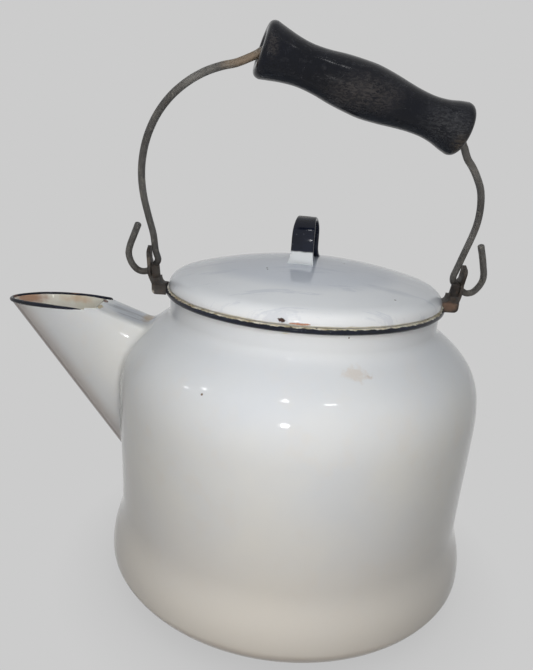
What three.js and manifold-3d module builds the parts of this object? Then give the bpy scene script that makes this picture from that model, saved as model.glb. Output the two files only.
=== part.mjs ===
// Enamel coffee pot: sheet steel body with a spout, a lift-off lid, and a wire bail with a turned grip.
// Millimetres. +Z is up, the spout points along -X, and the origin is the middle of the flat base.

import * as THREE from 'three';
import { mergeVertices } from 'three/addons/utils/BufferGeometryUtils.js';
import Module from 'manifold-3d';

const wasm = await Module();
wasm.setup();

// Sheet steel, and the gap kept between neighbouring pieces
const sheet = 1.4;
const seatGap = 0.3;
const cutOverrun = 5;

// Body
const baseRadius = 89.4;
const bulgeRadius = 109;
const bulgeHeight = 17;
const waistRadius = 103.4;
const waistHeight = 50;
const wallRadius = 105.2;
const shoulderHeight = 116;
const neckRadius = 77.3;
const neckHeight = 164.5;
const neckFlareWidth = 4;
const neckFlareRise = 3;
const neckFlareHeight = 3.1;
const neckLength = 12.1;
const rimHeight = neckHeight + neckLength;
const heelLeanShares = { across: 0.4, up: 0.09, bulge: 0.6 };
const waistLeanShare = 0.42;
const shoulderLeanShares = { wall: 0.57, flare: 3.6 };

// Bottom plate, crimped into the turned-in edge of the body
const plateInset = 1.2;
const crimpWidth = 6.5;

// Rim bead, rolled round the top of the neck
const rimBeadWidth = 2.7;
const rimBeadHeight = 3.2;
const rimRadius = neckRadius + rimBeadWidth;

// Spout: straight lines run from the mouth to an upright section inside the body
const mouthLength = 55;
const heelStandOff = 11.8;
const mouthHeel = wallRadius + heelStandOff;
const mouthTip = mouthHeel + mouthLength;
const mouthHalfWidth = 17.5;
const mouthHeelHalfWidth = 15.4;
const mouthDrop = 14.7;
const mouthHeight = rimHeight - mouthDrop;
const mouthArch = 1.5;
const mouthWaveShare = 0.75;
const rootDepth = 21.2;
const rootReach = wallRadius - rootDepth;
const rootDrop = 14.5;
const rootTop = neckHeight - rootDrop;
const rootLength = 106.4;
const rootBottom = rootTop - rootLength;
const rootHalfWidth = 22;
const rootTopHalfWidth = 14.3;
const spoutCornerRound = 4;
const spoutWall = 1.6;
const spoutLipRadius = 1.1;
const widestShares = { mouth: 0.72, root: 0.58 };
const spoutSideBulgeShare = 0.5;
const lipEndShare = 0.83;

// Strainer holes through the wall behind the spout, in an oval patch
const strainerHoleRadius = 2.6;
const strainerPitch = 8.5;
const strainerHeight = 60;
const strainerWidth = 27;
const strainerDrop = 38;
const strainerCentre = rootTop - strainerDrop;

// Lid
const lidRimShow = 1.7;
const lidRadius = rimRadius - lidRimShow;
const lidBase = rimHeight + seatGap;
const lidRise = 19;
const lidTop = lidBase + lidRise;
const lidEdgeWidth = 7.8;
const lidShoulderRadius = lidRadius - lidEdgeWidth;
const lidShoulderRise = 8.4;
const lidEdgeRound = 0.8;
const lidHemWidth = 4.4;
const lidSlope = 0.28;
const lidLeanShares = { shoulder: 0.31, crown: 0.34, edge: 0.75 };
const skirtDepth = 13;
const skirtClearance = 0.6;
const skirtSheet = 1.2;

// Strap handle on the lid
const strapWidth = 12.5;
const strapThickness = 2.2;
const strapSpan = 26;
const strapRise = 23.9;
const strapTop = lidTop + strapRise;
const strapToe = 3.6;
const strapToeRise = 4;
const strapToeThickness = 0.9;
const strapTurn = THREE.MathUtils.degToRad(11);
const strapOffset = 1.7;

// Ears, welded to the rim bead, with the eyes that the bail swings in
const wireRadius = 1.885;
const eyeRise = 7.6;
const eyeHeight = rimHeight + eyeRise;
const eyeClearance = 1.9;
const eyeRadius = wireRadius + eyeClearance;
const earWidth = 12;
const earStandOff = 9;
const earPlateInner = rimRadius + earStandOff;
const earPlateThickness = 1.8;
const earPlateOuter = earPlateInner + earPlateThickness;
const earFootTop = rimHeight - seatGap;
const earFootDepth = 6;
const earFootBottom = rimHeight - earFootDepth;
const earFootReach = earPlateOuter - earPlateThickness / 2;
const earCornerRound = 3;
const earNeckWidth = 10;
const earNeckDrop = 0.4;
const earNeckTop = eyeHeight - eyeRadius - earNeckDrop;
const earBossWidth = 2.4;
const earBossRadius = eyeRadius + earBossWidth;
const earTongueHeight = 14.5;
const earTongueWidth = 8.4;
const earTongueRound = 2.8;

// Bail, with legs that stand just inside the ears
const bailLean = THREE.MathUtils.degToRad(25);
const bailEarClearance = 0.4;
const bailHalfSpan = earPlateInner - bailEarClearance - wireRadius;
const hookReach = 15;
const hookHeight = 29.9;

// From a hook's end down to the eye: out from the leg as a share of the reach, up as a share of the height.
const spoutHookShares = [
  [0.529, 1], [0.756, 0.717], [0.904, 0.526], [0.992, 0.351], [0.975, 0.214], [0.871, 0.059],
  [0.699, -0.044], [0.505, -0.075], [0.327, -0.054], [0.173, -0.01], [0.06, 0.074],
];
const farHookShares = [
  [0.512, 0.998], [0.734, 0.714], [0.868, 0.522], [0.976, 0.353], [1.007, 0.204], [0.923, 0.034],
  [0.765, -0.085], [0.56, -0.115], [0.35, -0.065], [0.173, -0.01], [0.06, 0.074],
];

// Up each leg: in from the ear towards the grip's end, and up, both as shares.
const spoutLegShares = [
  [0.028, 0.052], [0.01, 0.1], [-0.001, 0.185], [-0.039, 0.282], [-0.07, 0.374], [-0.077, 0.451],
  [-0.061, 0.527], [-0.016, 0.611], [0.059, 0.692], [0.148, 0.757], [0.266, 0.818], [0.392, 0.864],
  [0.535, 0.902], [0.678, 0.927], [0.8, 0.941], [0.9, 0.96], [0.965, 0.974],
];
const farLegShares = [
  [0.06, 0.045], [0.11, 0.082], [0.085, 0.13], [0.05, 0.185], [-0.003, 0.275], [-0.06, 0.364],
  [-0.09, 0.457], [-0.062, 0.538], [0.013, 0.617], [0.133, 0.687], [0.354, 0.764], [0.531, 0.813],
  [0.672, 0.846], [0.775, 0.88], [0.84, 0.906], [0.92, 0.932], [0.985, 0.96],
];

// Stop, a lug on the ear's neck that the bail's leg leans on
const stopThickness = 2.4;
const stopDrop = 5;
const stopRise = 5.4;
const stopRound = 1.2;
const stopOverlap = 0.8;
const stopInner = bailHalfSpan - wireRadius - stopOverlap;
const stopOuter = bailHalfSpan + wireRadius;
const stopFace = wireRadius + seatGap;

// Grip
const gripLength = 105;
const gripBoreClearance = 0.35;
const gripRadius = 12.9;
const gripWaistRadius = 9.8;
const gripEndRound = 3.6;
const gripMouthRadius = 7;
const gripMouthDepth = 3.6;
const gripBendDepth = 1.6;
const gripBendDrop = 0.9;
const gripStart = { along: -32.5, up: 126.4 };
const gripTilt = THREE.MathUtils.degToRad(-17.9);

// Along the grip, and how far it swells from its waist to its full radius.
const gripSwellShares = [
  [0.075, 0.69], [0.13, 0.31], [0.2, 0.04], [0.28, 0.17], [0.36, 0.56], [0.44, 0.8], [0.51, 0.9],
  [0.6, 0.65], [0.68, 0.28], [0.75, 0.03], [0.82, 0], [0.88, 0.28], [0.93, 0.74],
];

const colours = {
  whiteEnamel: { color: 0xe6e6e2, roughness: 0.18, metalness: 0 },
  navyEnamel: { color: 0x1c2333, roughness: 0.2, metalness: 0 },
  wireSteel: { color: 0x5f5c55, roughness: 0.55, metalness: 0.85 },
  earSteel: { color: 0x4b453d, roughness: 0.7, metalness: 0.7 },
  blackWood: { color: 0x17181c, roughness: 0.45, metalness: 0 },
};

// How finely round shapes are divided
const roundSegments = 48;
const gripSegments = 20;
const holeSegments = 8;

// Turns a closed three.js geometry into a solid for cutting and joining.
function solidFrom(geometry) {
  const bare = geometry.clone();
  bare.deleteAttribute('normal');
  bare.deleteAttribute('uv');
  const merged = mergeVertices(bare);
  const corners = merged.index.array;
  const triVerts = [];
  for (let i = 0; i < corners.length; i += 3) {
    const [a, b, c] = corners.slice(i, i + 3);
    if (a !== b && b !== c && c !== a) triVerts.push(a, b, c);
  }
  const vertProperties = new Float32Array(merged.attributes.position.array);
  const mesh = new wasm.Mesh({ numProp: 3, vertProperties, triVerts: new Uint32Array(triVerts) });
  return new wasm.Manifold(mesh);
}

function geometryFrom(solid) {
  const mesh = solid.getMesh();
  const geometry = new THREE.BufferGeometry();
  geometry.setAttribute('position', new THREE.BufferAttribute(mesh.vertProperties, 3));
  geometry.setIndex(new THREE.BufferAttribute(mesh.triVerts, 1));
  geometry.computeVertexNormals();
  return geometry;
}

function piece(name, geometry, finish) {
  const mesh = new THREE.Mesh(geometry, new THREE.MeshStandardMaterial(finish));
  mesh.name = name;
  return mesh;
}

// Spins an outline of radius and height round Z. It runs up the outside and down the inside.
function spun(outline, segments = roundSegments) {
  const geometry = new THREE.LatheGeometry(outline, segments);
  geometry.rotateX(Math.PI / 2);
  return geometry;
}

const closed = (points) => [...points, points[0].clone()];

// Moves each point of an open outline sideways, to the left of its direction.
function inset(points, distance) {
  return points.map((point, i) => {
    const before = points[Math.max(i - 1, 0)];
    const after = points[Math.min(i + 1, points.length - 1)];
    const along = after.clone().sub(before).normalize();
    return new THREE.Vector2(point.x - along.y * distance, point.y + along.x * distance);
  });
}

// An extrusion centred on its own middle plane.
function slab(shape, thickness, curveSegments) {
  const settings = { depth: thickness, bevelEnabled: false, curveSegments };
  const geometry = new THREE.ExtrudeGeometry(shape, settings);
  geometry.translate(0, 0, -thickness / 2);
  return geometry;
}

// Stands a slab drawn in X and Y up, so that it is drawn in Y and Z and is thick along X.
function acrossX(geometry) {
  geometry.rotateX(Math.PI / 2);
  geometry.rotateZ(Math.PI / 2);
  return geometry;
}

// Stands a slab drawn in X and Y up, so that it is drawn in X and Z and is thick along Y.
function acrossY(geometry) {
  geometry.rotateX(Math.PI / 2);
  return geometry;
}

function rodAlongX(radius, from, to, segments) {
  const geometry = new THREE.CylinderGeometry(radius, radius, to - from, segments);
  geometry.rotateZ(Math.PI / 2);
  geometry.translate((from + to) / 2, 0, 0);
  return geometry;
}

// A smooth path whose steps are shared out between its points, so that close points make a finer tube.
class PointPath extends THREE.CatmullRomCurve3 {
  getUtoTmapping(share) {
    return share;
  }
}

function tube(path, radius, sides, steps) {
  const section = new THREE.Shape();
  section.absarc(0, 0, radius, 0, Math.PI * 2);
  return new THREE.ExtrudeGeometry(section, {
    extrudePath: path,
    steps,
    curveSegments: sides / 2,
    bevelEnabled: false,
  });
}

// The body's outer outline, from the standing edge to the top of the neck.
function bodyOutline() {
  const flareStart = {
    radius: neckRadius + neckFlareWidth,
    height: neckHeight - neckFlareHeight - neckFlareRise,
  };
  const heel = new THREE.Path();
  heel.moveTo(baseRadius, 0);
  heel.bezierCurveTo(
    baseRadius + (bulgeRadius - baseRadius) * heelLeanShares.across,
    bulgeHeight * heelLeanShares.up,
    bulgeRadius,
    bulgeHeight * heelLeanShares.bulge,
    bulgeRadius,
    bulgeHeight,
  );
  const waistLean = (waistHeight - bulgeHeight) * waistLeanShare;
  const waist = new THREE.Path();
  waist.moveTo(bulgeRadius, bulgeHeight);
  waist.bezierCurveTo(
    bulgeRadius,
    bulgeHeight + waistLean,
    waistRadius,
    waistHeight - waistLean,
    waistRadius,
    waistHeight,
  );
  const shoulder = new THREE.Path();
  shoulder.moveTo(wallRadius, shoulderHeight);
  shoulder.bezierCurveTo(
    wallRadius,
    shoulderHeight + (flareStart.height - shoulderHeight) * shoulderLeanShares.wall,
    flareStart.radius + neckFlareWidth * shoulderLeanShares.flare,
    flareStart.height - neckFlareRise * shoulderLeanShares.flare,
    flareStart.radius,
    flareStart.height,
  );
  const flare = new THREE.Path();
  flare.moveTo(flareStart.radius, flareStart.height);
  flare.quadraticCurveTo(neckRadius, neckHeight - neckFlareHeight, neckRadius, neckHeight);
  return [
    ...heel.getPoints(6),
    ...waist.getPoints(5).slice(1),
    ...shoulder.getPoints(8),
    ...flare.getPoints(3).slice(1),
    new THREE.Vector2(neckRadius, rimHeight),
  ];
}

// Everything inside the body's outer surface, grown by the gap that a neighbour keeps.
function bodyPlug(gap) {
  const grown = inset(bodyOutline(), -gap);
  const top = rimHeight + cutOverrun;
  return solidFrom(spun([
    new THREE.Vector2(0, -cutOverrun),
    new THREE.Vector2(grown[0].x, -cutOverrun),
    ...grown,
    new THREE.Vector2(neckRadius + gap, top),
    new THREE.Vector2(0, top),
  ]));
}

function strainerHoles() {
  const rowRise = strainerPitch * Math.sqrt(3 / 4);
  const rows = Math.floor(strainerHeight / 2 / rowRise);
  const columns = Math.floor(strainerWidth / 2 / strainerPitch) + 1;
  const holes = [];
  for (let row = -rows; row <= rows; row += 1) {
    for (let column = -columns; column <= columns; column += 1) {
      const across = (column + (row % 2) / 2) * strainerPitch;
      const up = row * rowRise;
      const spread = Math.hypot(up / (strainerHeight / 2), across / (strainerWidth / 2));
      if (spread > 1) continue;
      const hole = rodAlongX(strainerHoleRadius, -bulgeRadius - cutOverrun, -rootReach, holeSegments);
      hole.translate(0, across, strainerCentre + up);
      holes.push(solidFrom(hole));
    }
  }
  return holes;
}

function bodyShell() {
  const plateTop = sheet + seatGap;
  const crimpTop = plateTop + sheet;
  const crimpInner = baseRadius - crimpWidth;
  const recess = baseRadius - plateInset + seatGap;
  const outside = bodyOutline();
  const inside = inset(outside, sheet).filter((point) => point.y > crimpTop + sheet / 2).reverse();
  inside[0].y = rimHeight;
  const shell = solidFrom(spun(closed([
    ...outside,
    ...inside,
    new THREE.Vector2(crimpInner, crimpTop),
    new THREE.Vector2(crimpInner, plateTop),
    new THREE.Vector2(recess, plateTop),
    new THREE.Vector2(recess, 0),
  ])));
  return strainerHoles().reduce((body, hole) => body.subtract(hole), shell);
}

function bottomPlate() {
  const radius = baseRadius - plateInset;
  return solidFrom(spun([
    new THREE.Vector2(0, 0),
    new THREE.Vector2(radius, 0),
    new THREE.Vector2(radius, sheet),
    new THREE.Vector2(0, sheet),
  ]));
}

function rimBead() {
  const inner = neckRadius + seatGap;
  const width = rimRadius - inner;
  const section = new THREE.Path();
  section.moveTo(inner, rimHeight - rimBeadHeight);
  const half = rimBeadHeight / 2;
  section.absellipse(inner, rimHeight - half, width, half, -Math.PI / 2, Math.PI / 2);
  return solidFrom(spun(closed(section.getPoints(4).slice(1))));
}

// One half of a spout section: a quarter oval from the ridge to the widest place, a side that draws in,
// a rounded corner, and half of the flat top. Along runs from the ridge to the top.
function spoutHalf({ length, halfWidth, topHalfWidth, widestShare, inward }) {
  const widest = length * widestShare;
  const drawnIn = halfWidth - topHalfWidth;
  const cornerAlong = length - spoutCornerRound;
  const ridge = new THREE.Path();
  ridge.absellipse(widest, 0, widest - inward, halfWidth - inward, Math.PI, Math.PI / 2, true);
  const side = new THREE.Path();
  side.moveTo(widest, halfWidth - inward);
  side.quadraticCurveTo(
    widest + (length - widest) * spoutSideBulgeShare,
    halfWidth - inward,
    cornerAlong,
    topHalfWidth + drawnIn * (spoutCornerRound / (length - widest)) - inward,
  );
  const corner = new THREE.Path();
  corner.moveTo(cornerAlong, side.getPoint(1).y);
  const top = length - inward;
  corner.quadraticCurveTo(top, topHalfWidth - inward, top, topHalfWidth - spoutCornerRound);
  return [
    ...ridge.getPoints(9),
    ...side.getPoints(5).slice(1),
    ...corner.getPoints(3).slice(1),
    new THREE.Vector2(top, 0),
  ];
}

// Closes a half section into a loop, from the ridge up one side and down the other.
function spoutLoop(half) {
  const back = half.slice(1, -1).reverse().map((point) => new THREE.Vector2(point.x, -point.y));
  return [...half, ...back];
}

// Height of the mouth's edge: lowest at its heel, arched along its sides, a little raised at the tip.
function mouthEdge(along) {
  const fromHeel = THREE.MathUtils.clamp(1 - along / mouthLength, 0, 1);
  return mouthHeight + mouthArch * Math.sin(Math.PI * mouthWaveShare * fromHeel);
}

function mouthLoop(inward) {
  const half = spoutHalf({
    length: mouthLength,
    halfWidth: mouthHalfWidth,
    topHalfWidth: mouthHeelHalfWidth,
    widestShare: widestShares.mouth,
    inward,
  });
  return spoutLoop(half).map(({ x, y }) => new THREE.Vector3(x - mouthTip, y, mouthEdge(x)));
}

function rootLoop(inward) {
  const half = spoutHalf({
    length: rootTop - rootBottom,
    halfWidth: rootHalfWidth,
    topHalfWidth: rootTopHalfWidth,
    widestShare: widestShares.root,
    inward,
  });
  return spoutLoop(half).map(({ x, y }) => new THREE.Vector3(-rootReach, y, rootBottom + x));
}

// A closed band through rings with as many points each. The last ring joins the first again.
function band(rings) {
  const count = rings[0].length;
  const index = [];
  rings.forEach((_, ring) => {
    const here = ring * count;
    const there = ((ring + 1) % rings.length) * count;
    for (let i = 0; i < count; i += 1) {
      const next = (i + 1) % count;
      index.push(here + i, here + next, there + i);
      index.push(here + next, there + next, there + i);
    }
  });
  const positions = rings.flat().flatMap((point) => point.toArray());
  const geometry = new THREE.BufferGeometry();
  geometry.setAttribute('position', new THREE.Float32BufferAttribute(positions, 3));
  geometry.setIndex(index);
  return geometry;
}

// Rings on the straight lines that run from one loop to another.
function ruledRings(from, to) {
  const steps = 5;
  const shares = Array.from({ length: steps + 1 }, (_, step) => step / steps);
  return shares.map((share) => from.map((point, i) => point.clone().lerp(to[i], share)));
}

// How many loop points, on each side of the ridge, the lip covers.
function lipReach(loop) {
  return Math.round((loop.length / 2) * lipEndShare);
}

// A point of the mouth moved down the straight line to its partner on the root.
function downLine(point, partner, drop) {
  return point.clone().lerp(partner, drop / (point.z - partner.z));
}

// The mouth as the wall has it: cut down where the lip sits, and one point beyond each end of the lip.
function cutMouth(mouth, root) {
  const reach = lipReach(mouth) + 1;
  const drop = spoutLipRadius * 2 + seatGap;
  return mouth.map((point, i) => {
    const fromRidge = Math.min(i, mouth.length - i);
    return fromRidge > reach ? point : downLine(point, root[i], drop);
  });
}

function spoutLip() {
  const mouth = mouthLoop(spoutWall / 2);
  const root = rootLoop(spoutWall / 2);
  const reach = lipReach(mouth);
  const points = [];
  for (let i = -reach; i <= reach; i += 1) {
    const at = (i + mouth.length) % mouth.length;
    points.push(downLine(mouth[at], root[at], spoutLipRadius));
  }
  return solidFrom(tube(new PointPath(points), spoutLipRadius, 8, (points.length - 1) * 2));
}

function spoutShell() {
  const outerRoot = rootLoop(0);
  const innerRoot = rootLoop(spoutWall);
  const outside = ruledRings(cutMouth(mouthLoop(0), outerRoot), outerRoot);
  const inside = ruledRings(cutMouth(mouthLoop(spoutWall), innerRoot), innerRoot);
  return solidFrom(band([...outside, ...inside.reverse()])).subtract(bodyPlug(seatGap));
}

// The lid's outer outline, from its edge to the middle of its crown.
function lidOutline() {
  const shoulderTop = lidBase + lidShoulderRise;
  const edge = new THREE.Path();
  edge.moveTo(lidRadius, lidBase + lidEdgeRound);
  edge.quadraticCurveTo(
    lidRadius,
    lidBase + lidShoulderRise * lidLeanShares.edge,
    lidShoulderRadius,
    shoulderTop,
  );
  const lean = lidShoulderRadius * lidLeanShares.shoulder;
  const crown = new THREE.Path();
  crown.moveTo(lidShoulderRadius, shoulderTop);
  crown.bezierCurveTo(
    lidShoulderRadius - lean,
    shoulderTop + lean * lidSlope,
    lidShoulderRadius * lidLeanShares.crown,
    lidTop,
    0,
    lidTop,
  );
  return [...edge.getPoints(5), ...crown.getPoints(7).slice(1)];
}

function lidCover() {
  const outside = lidOutline();
  const hemInner = lidRadius - lidHemWidth;
  const inside = inset(outside, sheet).filter((point) => point.x < hemInner).reverse();
  inside[0].x = 0;
  return solidFrom(spun([
    ...inside,
    new THREE.Vector2(hemInner, lidBase),
    new THREE.Vector2(lidRadius - lidEdgeRound, lidBase),
    ...outside,
  ]));
}

function lidSkirt() {
  const outer = neckRadius - sheet - skirtClearance;
  const inner = outer - skirtSheet;
  const top = lidBase - seatGap;
  const bottom = top - skirtDepth;
  return solidFrom(spun(closed([
    new THREE.Vector2(outer - skirtSheet / 2, bottom),
    new THREE.Vector2(outer, bottom + skirtSheet),
    new THREE.Vector2(outer, top),
    new THREE.Vector2(inner, top),
    new THREE.Vector2(inner, bottom),
  ])));
}

// Everything under the lid's outer surface, grown by the gap that a neighbour keeps.
function lidPlug(gap) {
  const grown = inset(lidOutline(), -gap);
  grown.at(-1).x = 0;
  return solidFrom(spun([new THREE.Vector2(0, lidBase), ...grown]));
}

// A strap bent into an arch, with a short toe at each foot that lies on the lid.
function lidHandle() {
  const outerRadius = strapSpan / 2;
  const innerRadius = outerRadius - strapThickness;
  const archHeight = strapTop - outerRadius;
  const footHeight = lidTop - strapToeRise;
  const toeTop = lidTop + strapToeThickness;
  const toeEnd = outerRadius + strapToe;
  const shape = new THREE.Shape();
  shape.moveTo(toeEnd, footHeight);
  shape.lineTo(toeEnd, toeTop);
  shape.quadraticCurveTo(outerRadius, toeTop, outerRadius, lidTop + strapToeRise);
  shape.absarc(0, archHeight, outerRadius, 0, Math.PI);
  shape.lineTo(-outerRadius, lidTop + strapToeRise);
  shape.quadraticCurveTo(-outerRadius, toeTop, -toeEnd, toeTop);
  shape.lineTo(-toeEnd, footHeight);
  shape.lineTo(-innerRadius, footHeight);
  shape.lineTo(-innerRadius, archHeight);
  shape.absarc(0, archHeight, innerRadius, Math.PI, 0, true);
  shape.lineTo(innerRadius, footHeight);
  const strap = acrossX(slab(shape, strapWidth, 10));
  strap.rotateZ(-strapTurn);
  strap.translate(-strapOffset, 0, 0);
  return solidFrom(strap).subtract(lidPlug(seatGap));
}

// A place on the leaning plane of the bail: up along the lean, and out from it, in Y and Z.
function leaning(up, out) {
  const place = new THREE.Vector2(out, up).rotateAround(new THREE.Vector2(), bailLean);
  return place.add(new THREE.Vector2(0, eyeHeight));
}

// Side view of an ear: a thick foot on the rim, a neck under the bail's leg, and a plate beside it.
function earProfile() {
  const top = eyeHeight + earTongueHeight;
  const shape = new THREE.Shape();
  shape.moveTo(neckRadius, earFootBottom);
  shape.lineTo(earFootReach - earCornerRound, earFootBottom);
  shape.quadraticCurveTo(earFootReach, earFootBottom, earFootReach, earFootBottom + earCornerRound);
  shape.quadraticCurveTo(earFootReach, earFootTop, earPlateOuter, earNeckTop);
  shape.lineTo(earPlateOuter, top);
  shape.lineTo(earPlateInner, top);
  shape.lineTo(earPlateInner, earNeckTop);
  shape.lineTo(stopInner, earNeckTop);
  shape.quadraticCurveTo(stopInner, earFootTop, stopInner - earCornerRound, earFootTop);
  shape.lineTo(neckRadius, earFootTop);
  return shape;
}

// Front view of an ear: foot, narrower neck, a round boss about the eye, and a leaning tongue.
function earFace() {
  const half = earTongueWidth / 2;
  const neckAngle = Math.acos(earNeckWidth / 2 / earBossRadius);
  const tongueAngle = Math.acos(half / earBossRadius);
  const shape = new THREE.Shape();
  const lineTo = ({ x, y }) => shape.lineTo(x, y);
  const curveTo = (control, point) => shape.quadraticCurveTo(control.x, control.y, point.x, point.y);
  shape.moveTo(-earWidth / 2, earFootBottom - cutOverrun);
  shape.lineTo(earWidth / 2, earFootBottom - cutOverrun);
  shape.lineTo(earWidth / 2, earFootTop - earCornerRound);
  shape.quadraticCurveTo(earWidth / 2, earFootTop, earNeckWidth / 2, earFootTop);
  shape.absarc(0, eyeHeight, earBossRadius, -neckAngle, tongueAngle + bailLean);
  lineTo(leaning(earTongueHeight - earTongueRound, half));
  curveTo(leaning(earTongueHeight, half), leaning(earTongueHeight, half - earTongueRound));
  lineTo(leaning(earTongueHeight, earTongueRound - half));
  curveTo(leaning(earTongueHeight, -half), leaning(earTongueHeight - earTongueRound, -half));
  shape.absarc(0, eyeHeight, earBossRadius, Math.PI - tongueAngle + bailLean, Math.PI + neckAngle);
  shape.lineTo(-earNeckWidth / 2, earFootTop);
  shape.quadraticCurveTo(-earWidth / 2, earFootTop, -earWidth / 2, earFootTop - earCornerRound);
  return shape;
}

// The lug that stands on the neck in front of the bail's leg.
function earStop() {
  const shape = new THREE.Shape();
  shape.moveTo(stopInner, -stopDrop);
  shape.lineTo(stopOuter, -stopDrop);
  shape.lineTo(stopOuter, stopRise - stopRound);
  shape.quadraticCurveTo(stopOuter, stopRise, stopOuter - stopRound, stopRise);
  shape.lineTo(stopInner + stopRound, stopRise);
  shape.quadraticCurveTo(stopInner, stopRise, stopInner, stopRise - stopRound);
  const lug = acrossY(slab(shape, stopThickness, 4));
  lug.translate(0, -stopFace - stopThickness / 2, 0);
  lug.rotateX(bailLean);
  lug.translate(0, 0, eyeHeight);
  return lug;
}

function mirrored(geometry) {
  const flipped = geometry.clone();
  flipped.scale(-1, 1, 1);
  const corners = flipped.index.array;
  for (let i = 0; i < corners.length; i += 3) {
    [corners[i], corners[i + 1]] = [corners[i + 1], corners[i]];
  }
  return flipped;
}

// The ear on the +X side.
function ear() {
  const profile = solidFrom(acrossY(slab(earProfile(), earWidth * 2, 5)));
  const face = acrossX(slab(earFace(), earPlateOuter, 5));
  face.translate(earPlateOuter, 0, 0);
  const plate = profile.intersect(solidFrom(face));
  const eye = rodAlongX(eyeRadius, earPlateInner - cutOverrun, earPlateOuter + cutOverrun, 20);
  eye.translate(0, 0, eyeHeight);
  const rimReach = rimRadius + seatGap;
  const rim = new THREE.CylinderGeometry(rimReach, rimReach, rimHeight, roundSegments);
  rim.rotateX(Math.PI / 2);
  rim.translate(0, 0, rimHeight);
  return plate.subtract(solidFrom(eye)).add(solidFrom(earStop())).subtract(solidFrom(rim));
}

// A place by the grip's axis, in the plane of the bail: across along X, and up from the swing axis.
function gripPlace(along, below = 0) {
  return new THREE.Vector2(
    gripStart.along + along * Math.cos(gripTilt) + below * Math.sin(gripTilt),
    gripStart.up + along * Math.sin(gripTilt) - below * Math.cos(gripTilt),
  );
}

// The wire from one hook, up a leg, through the grip, and down the other leg to the other hook.
function bailPath() {
  const hook = (side, shares) => shares.map(([across, up]) => new THREE.Vector2(
    side * (bailHalfSpan + across * hookReach),
    up * hookHeight,
  ));
  const leg = (side, shares, end) => shares.map(([across, up]) => new THREE.Vector2(
    THREE.MathUtils.lerp(side * bailHalfSpan, end.x, across),
    end.y * up,
  ));
  const start = gripPlace(0);
  const end = gripPlace(gripLength);
  const straight = gripMouthDepth + wireRadius * 2;
  const through = [
    gripPlace(gripBendDepth, gripBendDrop),
    gripPlace(gripMouthDepth),
    gripPlace(straight),
    gripPlace(gripLength - straight),
    gripPlace(gripLength - gripMouthDepth),
    gripPlace(gripLength - gripBendDepth, gripBendDrop),
  ];
  const route = [
    ...hook(-1, spoutHookShares),
    ...leg(-1, spoutLegShares, start),
    ...through,
    ...leg(1, farLegShares, end).reverse(),
    ...hook(1, farHookShares).reverse(),
  ];
  return new PointPath(route.map(({ x, y }) => new THREE.Vector3(x, 0, y)));
}

function bailWire() {
  const path = bailPath();
  return solidFrom(tube(path, wireRadius, 8, (path.points.length - 1) * 2));
}

// A turned grip along its own Z, with a bore for the wire that opens out at both ends.
function grip() {
  const bore = wireRadius + gripBoreClearance;
  const flat = gripRadius - gripEndRound;
  const startEdge = new THREE.Path();
  startEdge.moveTo(flat, 0);
  startEdge.quadraticCurveTo(gripRadius, 0, gripRadius, gripEndRound);
  const endEdge = new THREE.Path();
  endEdge.moveTo(gripRadius, gripLength - gripEndRound);
  endEdge.quadraticCurveTo(gripRadius, gripLength, flat, gripLength);
  const swell = gripSwellShares.map(([along, share]) => new THREE.Vector2(
    THREE.MathUtils.lerp(gripWaistRadius, gripRadius, share),
    gripLength * along,
  ));
  const turned = new THREE.SplineCurve([startEdge.getPoint(1), ...swell, endEdge.getPoint(0)]);
  return solidFrom(spun(closed([
    new THREE.Vector2(bore, gripMouthDepth),
    new THREE.Vector2(gripMouthRadius, 0),
    ...startEdge.getPoints(3),
    ...turned.getPoints(20).slice(1, -1),
    ...endEdge.getPoints(3),
    new THREE.Vector2(gripMouthRadius, gripLength),
    new THREE.Vector2(bore, gripLength - gripMouthDepth),
  ]), gripSegments));
}

const { whiteEnamel, navyEnamel, wireSteel, earSteel, blackWood } = colours;

function body() {
  const group = new THREE.Group();
  const earShape = geometryFrom(ear());
  group.add(piece('body_shell', geometryFrom(bodyShell()), whiteEnamel));
  group.add(piece('bottom_plate', geometryFrom(bottomPlate()), whiteEnamel));
  group.add(piece('rim_bead', geometryFrom(rimBead()), navyEnamel));
  group.add(piece('spout_shell', geometryFrom(spoutShell()), whiteEnamel));
  group.add(piece('spout_lip', geometryFrom(spoutLip()), navyEnamel));
  group.add(piece('ear_spout_side', mirrored(earShape), earSteel));
  group.add(piece('ear_far_side', earShape, earSteel));
  return group;
}

function lid() {
  const group = new THREE.Group();
  group.add(piece('lid_cover', geometryFrom(lidCover()), whiteEnamel));
  group.add(piece('lid_skirt', geometryFrom(lidSkirt()), whiteEnamel));
  group.add(piece('lid_handle', geometryFrom(lidHandle()), navyEnamel));
  return group;
}

// The bail is drawn upright, then leaned over on its axis.
function bail() {
  const group = new THREE.Group();
  const turnedGrip = piece('grip', geometryFrom(grip()), blackWood);
  turnedGrip.position.set(gripStart.along, 0, gripStart.up);
  turnedGrip.rotation.y = Math.PI / 2 - gripTilt;
  group.add(piece('bail_wire', geometryFrom(bailWire()), wireSteel));
  group.add(turnedGrip);
  group.position.z = eyeHeight;
  group.rotation.x = bailLean;
  return group;
}

const pot = new THREE.Group();
pot.add(body(), lid(), bail());

export default pot;
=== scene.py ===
import math

import bpy
import numpy as np
from mathutils import Matrix, Vector


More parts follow.
